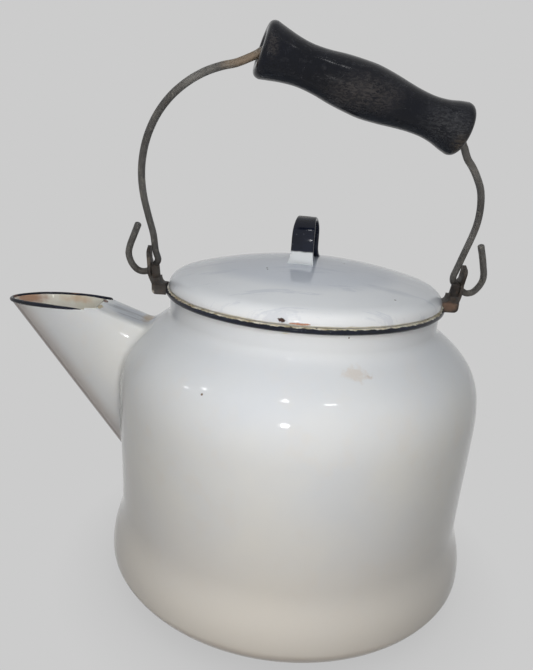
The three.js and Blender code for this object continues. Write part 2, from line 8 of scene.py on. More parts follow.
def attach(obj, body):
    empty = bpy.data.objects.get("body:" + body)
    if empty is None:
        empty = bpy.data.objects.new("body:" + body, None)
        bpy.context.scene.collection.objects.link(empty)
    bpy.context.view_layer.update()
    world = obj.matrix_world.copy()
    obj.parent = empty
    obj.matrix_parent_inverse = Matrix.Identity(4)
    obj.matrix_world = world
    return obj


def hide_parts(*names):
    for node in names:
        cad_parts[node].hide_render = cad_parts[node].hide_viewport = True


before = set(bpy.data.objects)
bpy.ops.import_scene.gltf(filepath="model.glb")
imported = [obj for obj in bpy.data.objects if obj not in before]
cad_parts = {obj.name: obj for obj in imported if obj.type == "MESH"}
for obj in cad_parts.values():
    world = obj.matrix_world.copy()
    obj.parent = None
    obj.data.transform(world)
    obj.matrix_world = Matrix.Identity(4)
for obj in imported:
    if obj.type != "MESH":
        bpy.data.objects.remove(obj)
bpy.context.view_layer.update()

mm = 0.001
tiny = 1e-4
print("frame loaded:", len(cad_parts), "nodes")


# Curves and meshes

def bezier(p0, p1, p2, p3, count):
    t = np.linspace(0, 1, count + 1)[:, None]
    p0, p1, p2, p3 = (np.array(p, float) for p in (p0, p1, p2, p3))
    return (1 - t) ** 3 * p0 + 3 * (1 - t) ** 2 * t * p1 + 3 * (1 - t) * t ** 2 * p2 + t ** 3 * p3


def quadratic(p0, p1, p2, count):
    t = np.linspace(0, 1, count + 1)[:, None]
    p0, p1, p2 = (np.array(p, float) for p in (p0, p1, p2))
    return (1 - t) ** 2 * p0 + 2 * (1 - t) * t * p1 + t ** 2 * p2


def throughPoints(points, perSpan):
    # centripetal Catmull-Rom, so tight bends in the wire don't overshoot
    def mix(a, b, ta, tb, t):
        return (tb - t) / (tb - ta) * a + (t - ta) / (tb - ta) * b

    p = np.array(points, float)
    p = np.vstack([2 * p[0] - p[1], p, 2 * p[-1] - p[-2]])
    out = []
    for a, b, c, d in zip(p, p[1:], p[2:], p[3:]):
        ta, tb, tc, td = np.cumsum([0] + [np.linalg.norm(v) ** 0.5 for v in (b - a, c - b, d - c)])
        for t in np.linspace(tb, tc, perSpan, endpoint=False):
            bc = mix(b, c, tb, tc, t)
            abc = mix(mix(a, b, ta, tb, t), bc, ta, tc, t)
            bcd = mix(bc, mix(c, d, tc, td, t), tb, td, t)
            out.append(mix(abc, bcd, tb, tc, t))
    out.append(p[-2])
    return np.array(out)


def chain(*runs):
    # one run of points without the doubles where runs meet
    out = []
    for run in runs:
        for point in np.atleast_2d(run):
            if not out or np.linalg.norm(point - out[-1]) > tiny:
                out.append(point)
    return np.array(out)


def directions(line):
    along = np.gradient(line, axis=0)
    along /= np.linalg.norm(along, axis=1)[:, None]
    return along, np.column_stack([-along[:, 1], along[:, 0]])


def offset(outline, distance):
    return outline + distance * directions(outline)[1]


def newObject(name, data):
    obj = bpy.data.objects.new(name, data)
    bpy.context.scene.collection.objects.link(obj)
    return obj


def smooth(mesh, sharp):
    mesh.polygons.foreach_set("use_smooth", [True] * len(mesh.polygons))
    mesh.set_sharp_from_angle(angle=math.radians(sharp))


def plainMesh(name, points, edges, faces):
    mesh = bpy.data.meshes.new(name)
    mesh.from_pydata([tuple(float(v) * mm for v in p) for p in points], edges, faces)
    return mesh


def pointValues(mesh, name, values):
    mesh.attributes.new(name, "FLOAT", "POINT").data.foreach_set("value", np.asarray(values, np.float32))


def meshObject(name, points, faces, sharp=38):
    mesh = plainMesh(name, points, [], faces)
    mesh.validate()
    smooth(mesh, sharp)
    return newObject(name, mesh)


def lathe(name, outline, segments):
    # outline of radius and height, up the outside and down the inside; it closes on itself
    points, rows = [], []
    for radius, height in outline:
        if radius < tiny:
            rows.append([len(points)] * segments)
            points.append((0, 0, height))
            continue
        rows.append(list(range(len(points), len(points) + segments)))
        for k in range(segments):
            angle = 2 * math.pi * k / segments
            points.append((radius * math.cos(angle), radius * math.sin(angle), height))
    faces = []
    for low, high in zip(rows, rows[1:] + rows[:1]):
        for k in range(segments):
            n = (k + 1) % segments
            corners = [low[k], low[n], high[n], high[k]]
            face = [c for i, c in enumerate(corners) if c != corners[i - 1]]
            if len(face) > 2:
                faces.append(face)
    return meshObject(name, points, faces)


def bandMesh(name, rings, sharp, wrap=True):
    # rings with as many points each; the last is joined to the first, or else both get a cap
    count, last = len(rings[0]), len(rings) - 1
    pairs = [(k, k + 1) for k in range(last)] + ([(last, 0)] if wrap else [])
    faces = []
    for here, there in pairs:
        for k in range(count):
            n = (k + 1) % count
            faces.append([here * count + k, here * count + n, there * count + n, there * count + k])
    if not wrap:
        faces.append(list(range(count))[::-1])
        faces.append([last * count + k for k in range(count)])
    return meshObject(name, np.vstack(rings), faces, sharp)


def keepResult(obj):
    # makes what the modifiers give the object's own mesh
    bpy.context.view_layer.update()
    graph = bpy.context.evaluated_depsgraph_get()
    result = bpy.data.meshes.new_from_object(obj.evaluated_get(graph), depsgraph=graph)
    obj.modifiers.clear()
    obj.data = result


def runTree(obj, tree, values):
    modifier = obj.modifiers.new("shape", "NODES")
    modifier.node_group = tree
    for item in tree.interface.items_tree:
        if item.in_out == "INPUT" and item.name in values:
            modifier[item.identifier] = values[item.name]
    keepResult(obj)


def setPiece(obj, body, node, material=None):
    if material is not None:
        obj.data.materials.clear()
        obj.data.materials.append(material)
    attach(obj, body)
    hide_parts(node)
    print(obj.name, "made:", len(obj.data.polygons), "faces")


# Node trees

class Value:
    # an output of a node, with arithmetic that adds nodes; [name] picks another output
    def __init__(self, net, node, key=0):
        self.net, self.node, self.key = net, node, key

    def __getitem__(self, key):
        return Value(self.net, self.node, key)

    def __add__(self, other):
        return self.net.maths("ADD", self, other)

    def __sub__(self, other):
        return self.net.maths("SUBTRACT", self, other)

    def __rsub__(self, other):
        return self.net.maths("SUBTRACT", other, self)

    def __mul__(self, other):
        return self.net.maths("MULTIPLY", self, other)

    def __truediv__(self, other):
        return self.net.maths("DIVIDE", self, other)


class Net:
    # a node tree and short ways to build it; fades, spots and the depth of a bump are given in mm
    def __init__(self, tree):
        self.tree = tree

    def join(self, node, inputs):
        for key, value in inputs.items():
            if isinstance(value, Value):
                self.tree.links.new(value.node.outputs[value.key], node.inputs[key])
            else:
                node.inputs[key].default_value = value

    def add(self, kind, inputs=None, **settings):
        node = self.tree.nodes.new(kind)
        for key, value in settings.items():
            setattr(node, key, value)
        self.join(node, inputs or {})
        return Value(self, node)

    def close(self, **outputs):
        # the outputs of a group, after which it is whole
        for label in outputs:
            kind = label if label in ("Color", "Geometry") else "Float"
            self.tree.interface.new_socket(name=label, in_out="OUTPUT", socket_type="NodeSocket" + kind)
        self.add("NodeGroupOutput", outputs)
        return self.tree

    def maths(self, operation, a, b=0.0):
        return self.add("ShaderNodeMath", {0: a, 1: b}, operation=operation)

    def vector(self, operation, a, b=(0, 0, 0)):
        node = self.add("ShaderNodeVectorMath", {0: a, 1: b}, operation=operation)
        return node["Value" if operation == "LENGTH" else "Vector"]

    def remap(self, value, low, high, toLow=0.0, toHigh=1.0, smooth=False):
        ends = {"Value": value, "From Min": low, "From Max": high, "To Min": toLow, "To Max": toHigh}
        kind = "SMOOTHSTEP" if smooth else "LINEAR"
        return self.add("ShaderNodeMapRange", ends, clamp=True, interpolation_type=kind)["Result"]

    def noise(self, place, scale, detail=3.0, roughness=0.55, distortion=0.0):
        return self.add("ShaderNodeTexNoise", {"Vector": place, "Scale": scale, "Detail": detail,
                                               "Roughness": roughness, "Distortion": distortion})["Fac"]

    def wander(self, place, grain, reach):
        # a slow wobble, up to reach either way
        return (self.noise(place, grain) - 0.5) * (reach * 2.0)

    def blend(self, factor, a, b):
        return self.add("ShaderNodeMix", {0: factor, 6: a, 7: b}, data_type="RGBA", blend_type="MIX")[2]

    def place(self):
        return self.add("ShaderNodeTexCoord")["Object"]

    def axes(self, place=None):
        return self.add("ShaderNodeSeparateXYZ", {0: place or self.place()})

    def inside(self):
        return self.add("ShaderNodeAttribute", attribute_name="inside")["Fac"]

    def use(self, name, **values):
        return self.add("ShaderNodeGroup", values, node_tree=shared[name])

    def clouds(self, scale, low, high, detail=3.0):
        return self.use("clouds", Scale=scale, Detail=detail, Low=low, High=high)

    def pinholes(self, scale, size, share):
        return self.use("pinholes", Scale=scale, Size=size, Share=share)

    def scratches(self, scale, stretch, limit):
        return self.use("scratches", Scale=scale, Stretch=stretch, Limit=limit)

    def fade(self, low, high, wander, grain):
        # 0 below, 1 above
        return self.use("fade", Low=low * mm, High=high * mm, Wander=wander * mm, Grain=grain)

    def below(self, *edge):
        return 1.0 - self.fade(*edge)

    def along(self, axis, low, high):
        return self.remap(self.axes()[axis], low * mm, high * mm, smooth=True)

    def spot(self, at, size, ragged, grain, soft):
        size = (size,) * 3 if isinstance(size, (int, float)) else size
        return self.use("spot", Centre=tuple(v * mm for v in at), Size=tuple(v * mm for v in size),
                        Raggedness=ragged, Grain=grain, Softness=soft)

    def layers(self, colour, layers, masks=None):
        # each layer: the kind of mask and its values, as in the functions above, its share and its colour
        for kind, values, share, tone in layers:
            mask = getattr(self, kind)(*values)
            colour = self.blend(mask * share, colour, tone)
            if masks is not None:
                masks.append(mask)
        return colour

    def dress(self, colour, roughness, height=None, depth=0.0):
        # the ends of a finish, on the material's own shader
        inputs = {"Base Color": colour, "Roughness": roughness}
        if height is not None:
            inputs["Normal"] = self.add("ShaderNodeBump", {"Strength": 1.0, "Distance": depth * mm,
                                                           "Height": height})
        self.join(self.tree.nodes["Principled BSDF"], inputs)


def newGroup(name, inputs, kind="ShaderNodeTree"):
    # inputs: a starting value each, or the kind of socket in words
    tree = bpy.data.node_groups.new(name, kind)
    for label, value in inputs.items():
        if isinstance(value, str):
            word = value
        else:
            word = {1: "Float", 3: "Vector", 4: "Color"}[np.size(value)]
        socket = tree.interface.new_socket(name=label, in_out="INPUT", socket_type="NodeSocket" + word)
        if word != value:
            socket.default_value = value
    net = Net(tree)
    return net, net.add("NodeGroupInput")


scratchEdge = 0.06
enamelGrain = {"waves": 28.0, "peel": 420.0, "peelHeight": 0.03}
rustGrain = {"finer": 4.0, "coarseShare": 0.65, "fineShare": 0.35, "edge": 0.08, "orange": (0.4, 0.62)}


def makeSoftSpot():
    # a ragged spot round a place on the object
    net, given = newGroup("softSpot", {"Centre": (0, 0, 0), "Size": (0.01, 0.01, 0.01), "Raggedness": 0.4,
                                       "Grain": 300.0, "Softness": 0.3})
    place = net.place()
    away = net.vector("DIVIDE", net.vector("SUBTRACT", place, given["Centre"]), given["Size"])
    reach = net.vector("LENGTH", away) + net.wander(place, given["Grain"], given["Raggedness"])
    return net.close(Mask=net.remap(reach, 1.0 - given["Softness"], 1.0, 1.0, 0.0, smooth=True))


def makeClouds():
    # broad patches, 0 to 1
    net, given = newGroup("cloudPatches", {"Scale": 20.0, "Detail": 3.0, "Low": 0.4, "High": 0.6})
    patches = net.noise(net.place(), given["Scale"], given["Detail"])
    return net.close(Mask=net.remap(patches, given["Low"], given["High"]))


def makePinholes():
    # sparse round pits; Share is how many cells have one
    net, given = newGroup("pinholes", {"Scale": 150.0, "Size": 0.08, "Share": 0.1})
    cells = net.add("ShaderNodeTexVoronoi", {"Vector": net.place(), "Scale": given["Scale"]})
    pit = net.remap(cells["Distance"], given["Size"], given["Size"] * 0.5)
    chance = net.add("ShaderNodeSeparateColor", {0: cells["Color"]})
    return net.close(Mask=pit * net.maths("LESS_THAN", chance, given["Share"]))


def makeScratches():
    # thin streaks along the axis that Stretch keeps smallest
    net, given = newGroup("fineScratches", {"Scale": 60.0, "Stretch": (1, 1, 8), "Limit": 0.62})
    place = net.vector("MULTIPLY", net.place(), given["Stretch"])
    streaks = net.noise(place, given["Scale"], detail=6.0, roughness=0.7, distortion=0.6)
    return net.close(Mask=net.remap(streaks, given["Limit"], given["Limit"] + scratchEdge))


def makeHeightFade():
    # 0 below Low and 1 above High, with a wandering edge
    net, given = newGroup("heightFade", {"Low": 0.0, "High": 0.01, "Wander": 0.001, "Grain": 120.0})
    place = net.place()
    height = net.axes(place)["Z"] + net.wander(place, given["Grain"], given["Wander"])
    return net.close(Mask=net.remap(height, given["Low"], given["High"], smooth=True))


def makeEnamelSurface():
    # the slow waves and fine orange peel of fired enamel, as a height
    net, given = newGroup("enamelSurface", {"Waves": 1.0, "Peel": 1.0})
    place = net.place()
    waves = net.noise(place, enamelGrain["waves"], detail=1.0) * given["Waves"]
    peel = net.noise(place, enamelGrain["peel"], detail=2.0) * (given["Peel"] * enamelGrain["peelHeight"])
    return net.close(Height=waves + peel)


def makeRust():
    # rust colour from orange to dark brown, a mask of where it shows and its crust's height
    net, given = newGroup("rustCrust", {"Scale": 260.0, "Amount": 0.5, "Orange": (0.30, 0.10, 0.03, 1),
                                        "Brown": (0.045, 0.022, 0.014, 1)})
    place = net.place()
    coarse = net.noise(place, given["Scale"], detail=5.0, roughness=0.65)
    fine = net.noise(place, given["Scale"] * rustGrain["finer"], detail=4.0, roughness=0.7)
    height = coarse * rustGrain["coarseShare"] + fine * rustGrain["fineShare"]
    limit, edge = 1.0 - given["Amount"], rustGrain["edge"]
    colour = net.blend(net.remap(fine, *rustGrain["orange"]), given["Brown"], given["Orange"])
    return net.close(Mask=net.remap(height, limit - edge, limit + edge), Color=colour, Height=height)


shared = {
    "spot": makeSoftSpot(), "clouds": makeClouds(), "pinholes": makePinholes(), "scratches": makeScratches(),
    "fade": makeHeightFade(), "enamel": makeEnamelSurface(), "rust": makeRust(),
}


def newMaterial(name, **settings):
    # settings of the shader by their names, such as IOR
    material = bpy.data.materials.new(name)
    material.use_nodes = True
    net = Net(material.node_tree)
    net.join(net.tree.nodes["Principled BSDF"], {key.replace("_", " "): v for key, v in settings.items()})
    return material, net


def rgb(red, green, blue):
    # a colour as seen on screen, 0 to 255, as the light values that a shader needs
    def lin(v):
        v = v / 255
        return v / 12.92 if v <= 0.04045 else ((v + 0.055) / 1.055) ** 2.4
    return (lin(red), lin(green), lin(blue), 1)


def mark(at, size, colour, share=1.0, ragged=0.4, grain=300.0, soft=0.3):
    # a stain, a chip or a painted reflection as a layer: its place and size in mm, and how ragged, fine and
    # soft its edge is
    return ("spot", (at, size, ragged, grain, soft), share, colour)


# White enamel, with its stains and chips

coolWhite, warmWhite = rgb(224, 228, 235), rgb(233, 227, 219)
whiteLook = {
    "base": rgb(235, 235, 233), "ior": 1.5,
    "layers": [("clouds", (14.0, 0.35, 0.7), 1.0, coolWhite),
               ("clouds", (55.0, 0.52, 0.8, 4.0), 0.5, warmWhite)],
    "pits": (95.0, 0.07, 0.035), "pitShare": 0.75, "iron": rgb(58, 40, 32),
    "dull": (34.0, 0.45, 0.75, 5.0), "scratches": (55.0, (1, 1, 5), 0.66),
    "roughness": 0.07, "dullRoughness": 0.04, "scratchRoughness": 0.12,
    "waves": 0.5, "pitDepth": 0.25, "chipDepth": 0.5, "bump": 0.5,
}


def whiteEnamel(name, piece, extra=None):
    # the piece may have tints, its own inside, layers, chips, marks, and a share of the waves
    look = whiteLook
    material, net = newMaterial(name, IOR=look["ior"])
    colour = net.layers(look["base"], look["layers"] + piece.get("tints", []))
    if "inside" in piece:
        colour = net.blend(net.inside(), colour, net.layers(*piece["inside"]))
    if extra:
        colour = extra(net, colour)
    colour = net.layers(colour, piece.get("layers", []))
    chips = []
    colour = net.layers(colour, piece.get("chips", []), chips)
    colour = net.layers(colour, piece.get("marks", []))
    pits = net.pinholes(*look["pits"])
    colour = net.blend(pits * look["pitShare"], colour, look["iron"])
    rough = net.clouds(*look["dull"]) * look["dullRoughness"] + look["roughness"]
    rough = rough + net.scratches(*look["scratches"]) * look["scratchRoughness"]
    waves = look["waves"] * piece.get("waves", 1.0)
    height = net.use("enamel", Waves=waves, Peel=1.0) - pits * look["pitDepth"]
    for chip in chips:
        height = height - chip * look["chipDepth"]
    net.dress(colour, rough, height, look["bump"])
    return material


# Pot body: tide marks and freckles inside, a cool top that is painted light, a warmer foot, and a brown line
# at the standing edge that is a painted reflection

body = {
    "foot": 89.4, "bulge": (109.0, 17.0), "waist": (103.4, 50.0), "shoulder": (105.2, 116.0),
    "neck": (77.3, 164.5), "rimHeight": 176.6, "flareWidth": 4.0, "flareRise": 3.0, "flareHeight": 3.1,
    "footPull": 0.4, "footRise": 0.09, "bulgePull": 0.6, "waistPull": 0.42, "wallPull": 0.33,
    "shoulderPull": 0.57, "flarePull": 3.6, "steps": (22, 20, 16, 34, 12), "segments": 224,
    "sheet": 1.4, "insideBy": 0.5, "innerFrom": 3.8, "topRound": (1.2, 0.7, 0.5),
    "crimp": [(82.9, 3.1), (82.9, 1.7), (88.5, 1.7), (88.5, 0.0)],
    # painted light: a cool tint from 120 mm up, for the cool light from above; below 105 mm the wall is
    # tinted warmer
    "tints": [("fade", (120, 172, 6, 20.0), 0.7, coolWhite), ("below", (18, 105, 8, 25.0), 0.85, warmWhite)],
    "inside": (rgb(196, 184, 160), [("fade", (60, 64, 1.5, 30.0), 1.0, rgb(222, 219, 208)),
                                    ("clouds", (160.0, 0.56, 0.66, 5.0), 0.6, rgb(150, 112, 70))]),
    "layers": [
        ("below", (7, 20, 2.2, 90.0), 0.45, rgb(214, 190, 172)),
        # painted reflection: a brown line round the standing edge, for the dark surroundings seen in the
        # gloss
        ("below", (7.6, 10.6, 0.8, 260.0), 0.75, rgb(132, 98, 78)),
        mark((21.6, -81.3, 156.3), (9, 7, 5), rgb(208, 190, 172), 0.4, 0.9, 320.0, 0.9),
        mark((27.0, -79.6, 154.6), (3.2, 3, 1.4), rgb(190, 168, 148), 0.5, 0.9, 500.0, 0.7),
        mark((17.4, -75.2, 172.0), 0.6, rgb(110, 100, 92), soft=0.5),
        mark((-50.5, -84.6, 142.6), 0.7, rgb(120, 100, 84), soft=0.5),
        mark((-14.0, -77.0, 172.6), (5, 2, 0.7), rgb(216, 204, 166), 0.6, soft=0.8),
        mark((-91.0, 4.0, 152.0), (4, 16, 4), rgb(164, 140, 104), 0.7, grain=200.0, soft=0.8),
    ],
}


def wallOutline():
    b, steps = body, body["steps"]
    bulge, waist, shoulder, neck = b["bulge"], b["waist"], b["shoulder"], b["neck"]
    flare = (neck[0] + b["flareWidth"], neck[1] - b["flareHeight"] - b["flareRise"])
    lean = (waist[1] - bulge[1]) * b["waistPull"]
    rise = (shoulder[1] - waist[1]) * b["wallPull"]
    pull = b["flarePull"]
    return chain(
        bezier((b["foot"], 0), (b["foot"] + (bulge[0] - b["foot"]) * b["footPull"], bulge[1] * b["footRise"]),
               (bulge[0], bulge[1] * b["bulgePull"]), bulge, steps[0]),
        bezier(bulge, (bulge[0], bulge[1] + lean), (waist[0], waist[1] - lean), waist, steps[1]),
        bezier(waist, (waist[0], waist[1] + rise), (shoulder[0], shoulder[1] - rise), shoulder, steps[2]),
        bezier(shoulder, (shoulder[0], shoulder[1] + (flare[1] - shoulder[1]) * b["shoulderPull"]),
               (flare[0] + b["flareWidth"] * pull, flare[1] - b["flareRise"] * pull), flare, steps[3]),
        quadratic(flare, (neck[0], neck[1] - b["flareHeight"]), neck, steps[4]),
        (neck[0], b["rimHeight"] - b["topRound"][0]))


outerWall = wallOutline()


def wallRadiusAt(height):
    return np.interp(height, outerWall[:, 1], outerWall[:, 0])


strainer = {
    "Hole Radius": 2.6, "Pitch": 8.5, "Patch Height": 60.0, "Patch Width": 27.0, "Patch Centre": 112.0,
    "Cut From": 84.0, "Cut To": 114.0,
}
strainerGrid = {"rows": 11, "columns": 7, "holeSides": 20}
cutLook = {
    "metallic": 0.6, "ior": 1.5, "steel": rgb(70, 62, 56), "rust": {"Scale": 500.0, "Amount": 0.6},
    "roughness": (0.3, 0.7, 0.45, 0.8),
}


def strainerTree():
    # punches rows of holes through the wall behind the spout
    net, given = newGroup("strainerHoles", {"Geometry": "Geometry", **dict.fromkeys(strainer, "Float"),
                                            "Hole Edge": "Material"}, "GeometryNodeTree")
    pitch, cutFrom, cutTo = given["Pitch"], given["Cut From"], given["Cut To"]
    rows, columns = strainerGrid["rows"], strainerGrid["columns"]
    rowRise = pitch * math.sqrt(0.75)
    grid = net.add("GeometryNodeMeshGrid", {
        "Vertices X": rows, "Vertices Y": columns,
        "Size X": rowRise * (rows - 1.0), "Size Y": pitch * (columns - 1.0)})
    at = net.axes(net.add("GeometryNodeInputPosition"))
    odd = net.maths("ABSOLUTE", net.maths("MODULO", net.maths("ROUND", at["X"] / rowRise), 2.0))
    across = at["Y"] + odd * 0.5 * pitch
    upShare = at["X"] / (given["Patch Height"] * 0.5)
    acrossShare = across / (given["Patch Width"] * 0.5)
    spread = net.maths("POWER", upShare, 2.0) + net.maths("POWER", acrossShare, 2.0)
    place = net.add("ShaderNodeCombineXYZ", {0: (cutFrom + cutTo) * -0.5, 1: across,
                                             2: at["X"] + given["Patch Centre"]})
    outside = net.maths("GREATER_THAN", spread, 1.0)
    points = net.add("GeometryNodeDeleteGeometry", {"Geometry": grid, "Selection": outside}, domain="POINT")
    points = net.add("GeometryNodeSetPosition", {"Geometry": points, "Position": place})
    punch = net.add("GeometryNodeMeshCylinder", {"Vertices": strainerGrid["holeSides"],
                                                 "Radius": given["Hole Radius"], "Depth": cutTo - cutFrom})
    punches = net.add("GeometryNodeInstanceOnPoints", {"Points": points, "Instance": punch["Mesh"],
                                                       "Rotation": (0, math.pi / 2, 0)})
    punches = net.add("GeometryNodeRealizeInstances", {"Geometry": punches})
    punches = net.add("GeometryNodeSetMaterial", {"Geometry": punches, "Material": given["Hole Edge"]})
    punched = net.add("GeometryNodeMeshBoolean", {"Mesh 1": given["Geometry"], "Mesh 2": punches},
                      operation="DIFFERENCE")
    return net.close(Geometry=punched)


def makeBody():
    b = body
    drop, inset, ease = b["topRound"]
    neck, top = b["neck"][0], b["rimHeight"]
    inner = offset(outerWall, b["sheet"])
    inner = inner[inner[:, 1] > b["innerFrom"]][::-1]
    inner[0] = (neck - b["sheet"], top - ease)
    edge = quadratic((neck, top - drop), (neck, top), (neck - inset, top), 4)
    obj = lathe("potBody", chain(outerWall, edge, inner, b["crimp"]), b["segments"])
    heights = np.array([v.co.z for v in obj.data.vertices]) / mm
    radii = np.array([v.co.xy.length for v in obj.data.vertices]) / mm
    pointValues(obj.data, "inside", radii < wallRadiusAt(heights) - b["insideBy"])
    obj.data.materials.append(whiteEnamel("bodyEnamel", b))
    cut, net = newMaterial("punchedEdge", Metallic=cutLook["metallic"], IOR=cutLook["ior"])
    crust = net.use("rust", **cutLook["rust"])
    colour = net.blend(crust, cutLook["steel"], crust["Color"])
    net.dress(colour, net.remap(crust["Height"], *cutLook["roughness"]))
    runTree(obj, strainerTree(), {**{label: v * mm for label, v in strainer.items()}, "Hole Edge": cut})
    setPiece(obj, "pot", "body_shell")


makeBody()


# Bottom plate, blackened from the stove

plate = {
    "radius": 88.2, "thickness": 1.4, "ringRadius": 66.0, "ringWidth": 5.0, "ringRise": 0.6, "flatGap": 1,
    "edge": (0.5, 0.4), "segments": 160,
    "enamel": rgb(206, 200, 188), "burnt": rgb(88, 72, 60), "soot": (38.0, 0.35, 0.66, 6.0),
    "burntFrom": (0.03, 0.088, 0.35, 1.0), "black": rgb(40, 34, 32), "blackClouds": (95.0, 0.55, 0.7, 5.0),
    "blackShare": 0.7, "scuff": rgb(150, 146, 140), "scuffs": (42.0, (6, 1, 1), 0.6), "scuffShare": 0.5,
    "roughness": (0.3, 0.7), "bump": 0.08, "coat": 0.15, "coatRoughness": 0.2, "ior": 1.5,
}


def makePlate():
    p = plate
    ring = [(p["ringRadius"] + p["ringWidth"] * math.cos(a), p["ringRise"] * math.sin(a))
            for a in np.linspace(math.pi, 0, 13)]
    inset, rise = p["edge"]
    radius, thickness = p["radius"], p["thickness"]
    outline = chain([(0, 0), (p["ringRadius"] - p["ringWidth"] - p["flatGap"], 0)], ring,
                    [(radius - inset, 0), (radius, rise), (radius, thickness), (0, thickness)])
    obj = lathe("bottomPlate", outline, p["segments"])
    material, net = newMaterial("scorchedEnamel", Coat_Weight=p["coat"], Coat_Roughness=p["coatRoughness"],
                                IOR=p["ior"])
    at = net.axes()
    reach = net.vector("LENGTH", net.add("ShaderNodeCombineXYZ", {0: at["X"], 1: at["Y"]}))
    soot = net.clouds(*p["soot"])
    burnt = net.remap(reach, *p["burntFrom"]) * soot
    colour = net.blend(burnt, p["enamel"], p["burnt"])
    colour = net.blend(net.clouds(*p["blackClouds"]) * p["blackShare"], colour, p["black"])
    scuffs = net.scratches(*p["scuffs"])
    colour = net.blend(scuffs * p["scuffShare"], colour, p["scuff"])
    net.dress(colour, net.remap(burnt, 0.0, 1.0, *p["roughness"]), soot + scuffs, p["bump"])
    setPiece(obj, "pot", "bottom_plate", material)


makePlate()


# Navy enamel, worn to cream on top of the rim

navyLook = {
    "base": rgb(16, 20, 33), "ior": 1.38,
    "layers": [("clouds", (60.0, 0.4, 0.7, 4.0), 1.0, rgb(27, 33, 50)),
               ("pinholes", (520.0, 0.2, 0.14), 0.45, rgb(104, 108, 120))],
    "dull": (90.0, 0.4, 0.8, 4.0), "roughness": 0.08, "dullRoughness": 0.1,
    "cream": (rgb(232, 228, 214), [("clouds", (210.0, 0.42, 0.62, 5.0), 1.0, rgb(190, 178, 150)),
                                   ("clouds", (420.0, 0.62, 0.68, 4.0), 1.0, rgb(72, 52, 38))]),
    "creamEdge": (0.55, 330.0), "creamRoughness": 0.2, "whiteEdge": (0.5, 160.0), "white": rgb(220, 224, 228),
    "chipDepth": 0.4, "chipRoughness": 0.3, "surface": {"Waves": 0.6, "Peel": 1.2}, "bump": 0.35,
}


def navyEnamel(name, piece):
    # the piece has chips, and may give the heights between which cream or white takes over
    look = navyLook
    material, net = newMaterial(name, IOR=look["ior"])
    colour = net.layers(look["base"], look["layers"])
    height = net.use("enamel", **look["surface"])
    rough = net.clouds(*look["dull"]) * look["dullRoughness"] + look["roughness"]
    if "creamFrom" in piece:
        worn = net.fade(*piece["creamFrom"], *look["creamEdge"])
        colour = net.blend(worn, colour, net.layers(*look["cream"]))
        rough = rough + worn * look["creamRoughness"]
    if "whiteBelow" in piece:
        front = net.maths("LESS_THAN", net.axes()["Y"], 0.0)
        colour = net.blend(front * net.below(*piece["whiteBelow"], *look["whiteEdge"]), colour, look["white"])
    chips = []
    colour = net.layers(colour, piece["chips"], chips)
    for chip in chips:
        height = height - chip * look["chipDepth"]
        rough = rough + chip * look["chipRoughness"]
    net.dress(colour, rough, height, look["bump"])
    return material


# Rolled rim

rim = {
    "inner": 77.6, "width": 2.4, "height": 3.2, "segments": 256, "creamFrom": (176.1, 176.35),
    "chips": [mark((62.0, 48.0, 176.0), (5, 5, 1.8), rgb(90, 56, 38), 1.0, 0.5, 500.0, 0.25),
              mark((-70.0, 36.0, 175.6), (3, 4, 2.0), rgb(60, 44, 38), 1.0, 0.5, 500.0, 0.25)],
}


def makeRim():
    half = rim["height"] / 2
    bead = [(rim["inner"] + rim["width"] * math.cos(a), body["rimHeight"] - half + half * math.sin(a))
            for a in np.linspace(-math.pi / 2, math.pi / 2, 17)]
    obj = lathe("rolledRim", bead, rim["segments"])
    setPiece(obj, "pot", "rim_bead", navyEnamel("rimEnamel", rim))


makeRim()


# Spout: straight lines from the mouth to an upright section inside the body, and a fillet on the wall

spout = {
    "mouth": (55.0, 17.5, 15.4, 0.72), "mouthHeel": 117.0, "mouthHeight": 161.9, "mouthArch": 1.5,
    "mouthWave": 0.75, "root": (106.4, 22.0, 14.3, 0.58), "rootReach": 84.0, "rootTop": 150.0,
    "corner": 3.4, "sideBulge": 0.5, "wall": 1.6, "fillet": 4.2, "landGap": 0.03, "sunk": 0.7,
    "innerGap": 0.1, "slopeStep": 0.5, "edgeRise": 0.45, "steps": (26, 9, 22), "halvings": 40,
    "ridgeAt": (-171.6, 161.7), "ridgeSlope": -1.343, "wander": (120.0, 1.5),
    # painted shade: a brown haze and a darker brown line along the ridge, where the sides turn under
    "bands": [((6, 28), 1.0, 0.45, rgb(176, 152, 138)), ((7, 10.5), 0.5, 0.6, rgb(122, 94, 80))],
    # painted shade: a grey-blue patch on the strip where it meets the body
    "bridge": ((-99, 0, 156), (27, 14, 8), 0.25, 90.0, 0.5), "bridgeTone": rgb(178, 184, 196),
    "bridgeShare": 0.75, "streaks": (30.0, (1, 7, 1), 0.5), "streakTone": rgb(150, 152, 158),
    "streakShare": 0.6, "waves": 0.6,
    "inside": (rgb(250, 248, 240), [
        ("clouds", (70.0, 0.4, 0.65, 4.0), 1.0, rgb(240, 234, 220)),
        mark((-140, 17, 159.5), (14, 4, 4), rgb(222, 184, 142), 0.6, 0.6, 130.0, 0.8),
        mark((-163, 5, 160), (13, 12, 6), rgb(170, 116, 78), 0.85, 0.6, 120.0, 0.7),
        # painted shade: the inside darkens to brown deep down
        ("below", (60, 120, 6, 60.0), 1.0, rgb(150, 124, 98))]),
    "marks": [
        mark((-91.5, 4.0, 152.5), (5, 14, 4), rgb(176, 150, 110), 0.75, grain=220.0, soft=0.8),
        mark((-117.2, 4.5, 161.6), (1.6, 3.0, 1.6), rgb(110, 70, 46), 1.0, 0.6, 600.0),
        mark((-117.2, -9.5, 161.6), (1.8, 5.0, 1.4), rgb(200, 184, 150), 1.0, 0.6, 500.0),
        mark((-117.2, 13.0, 161.6), (2.2, 3.0, 1.6), rgb(120, 84, 58), 1.0, 0.6, 500.0)],
}
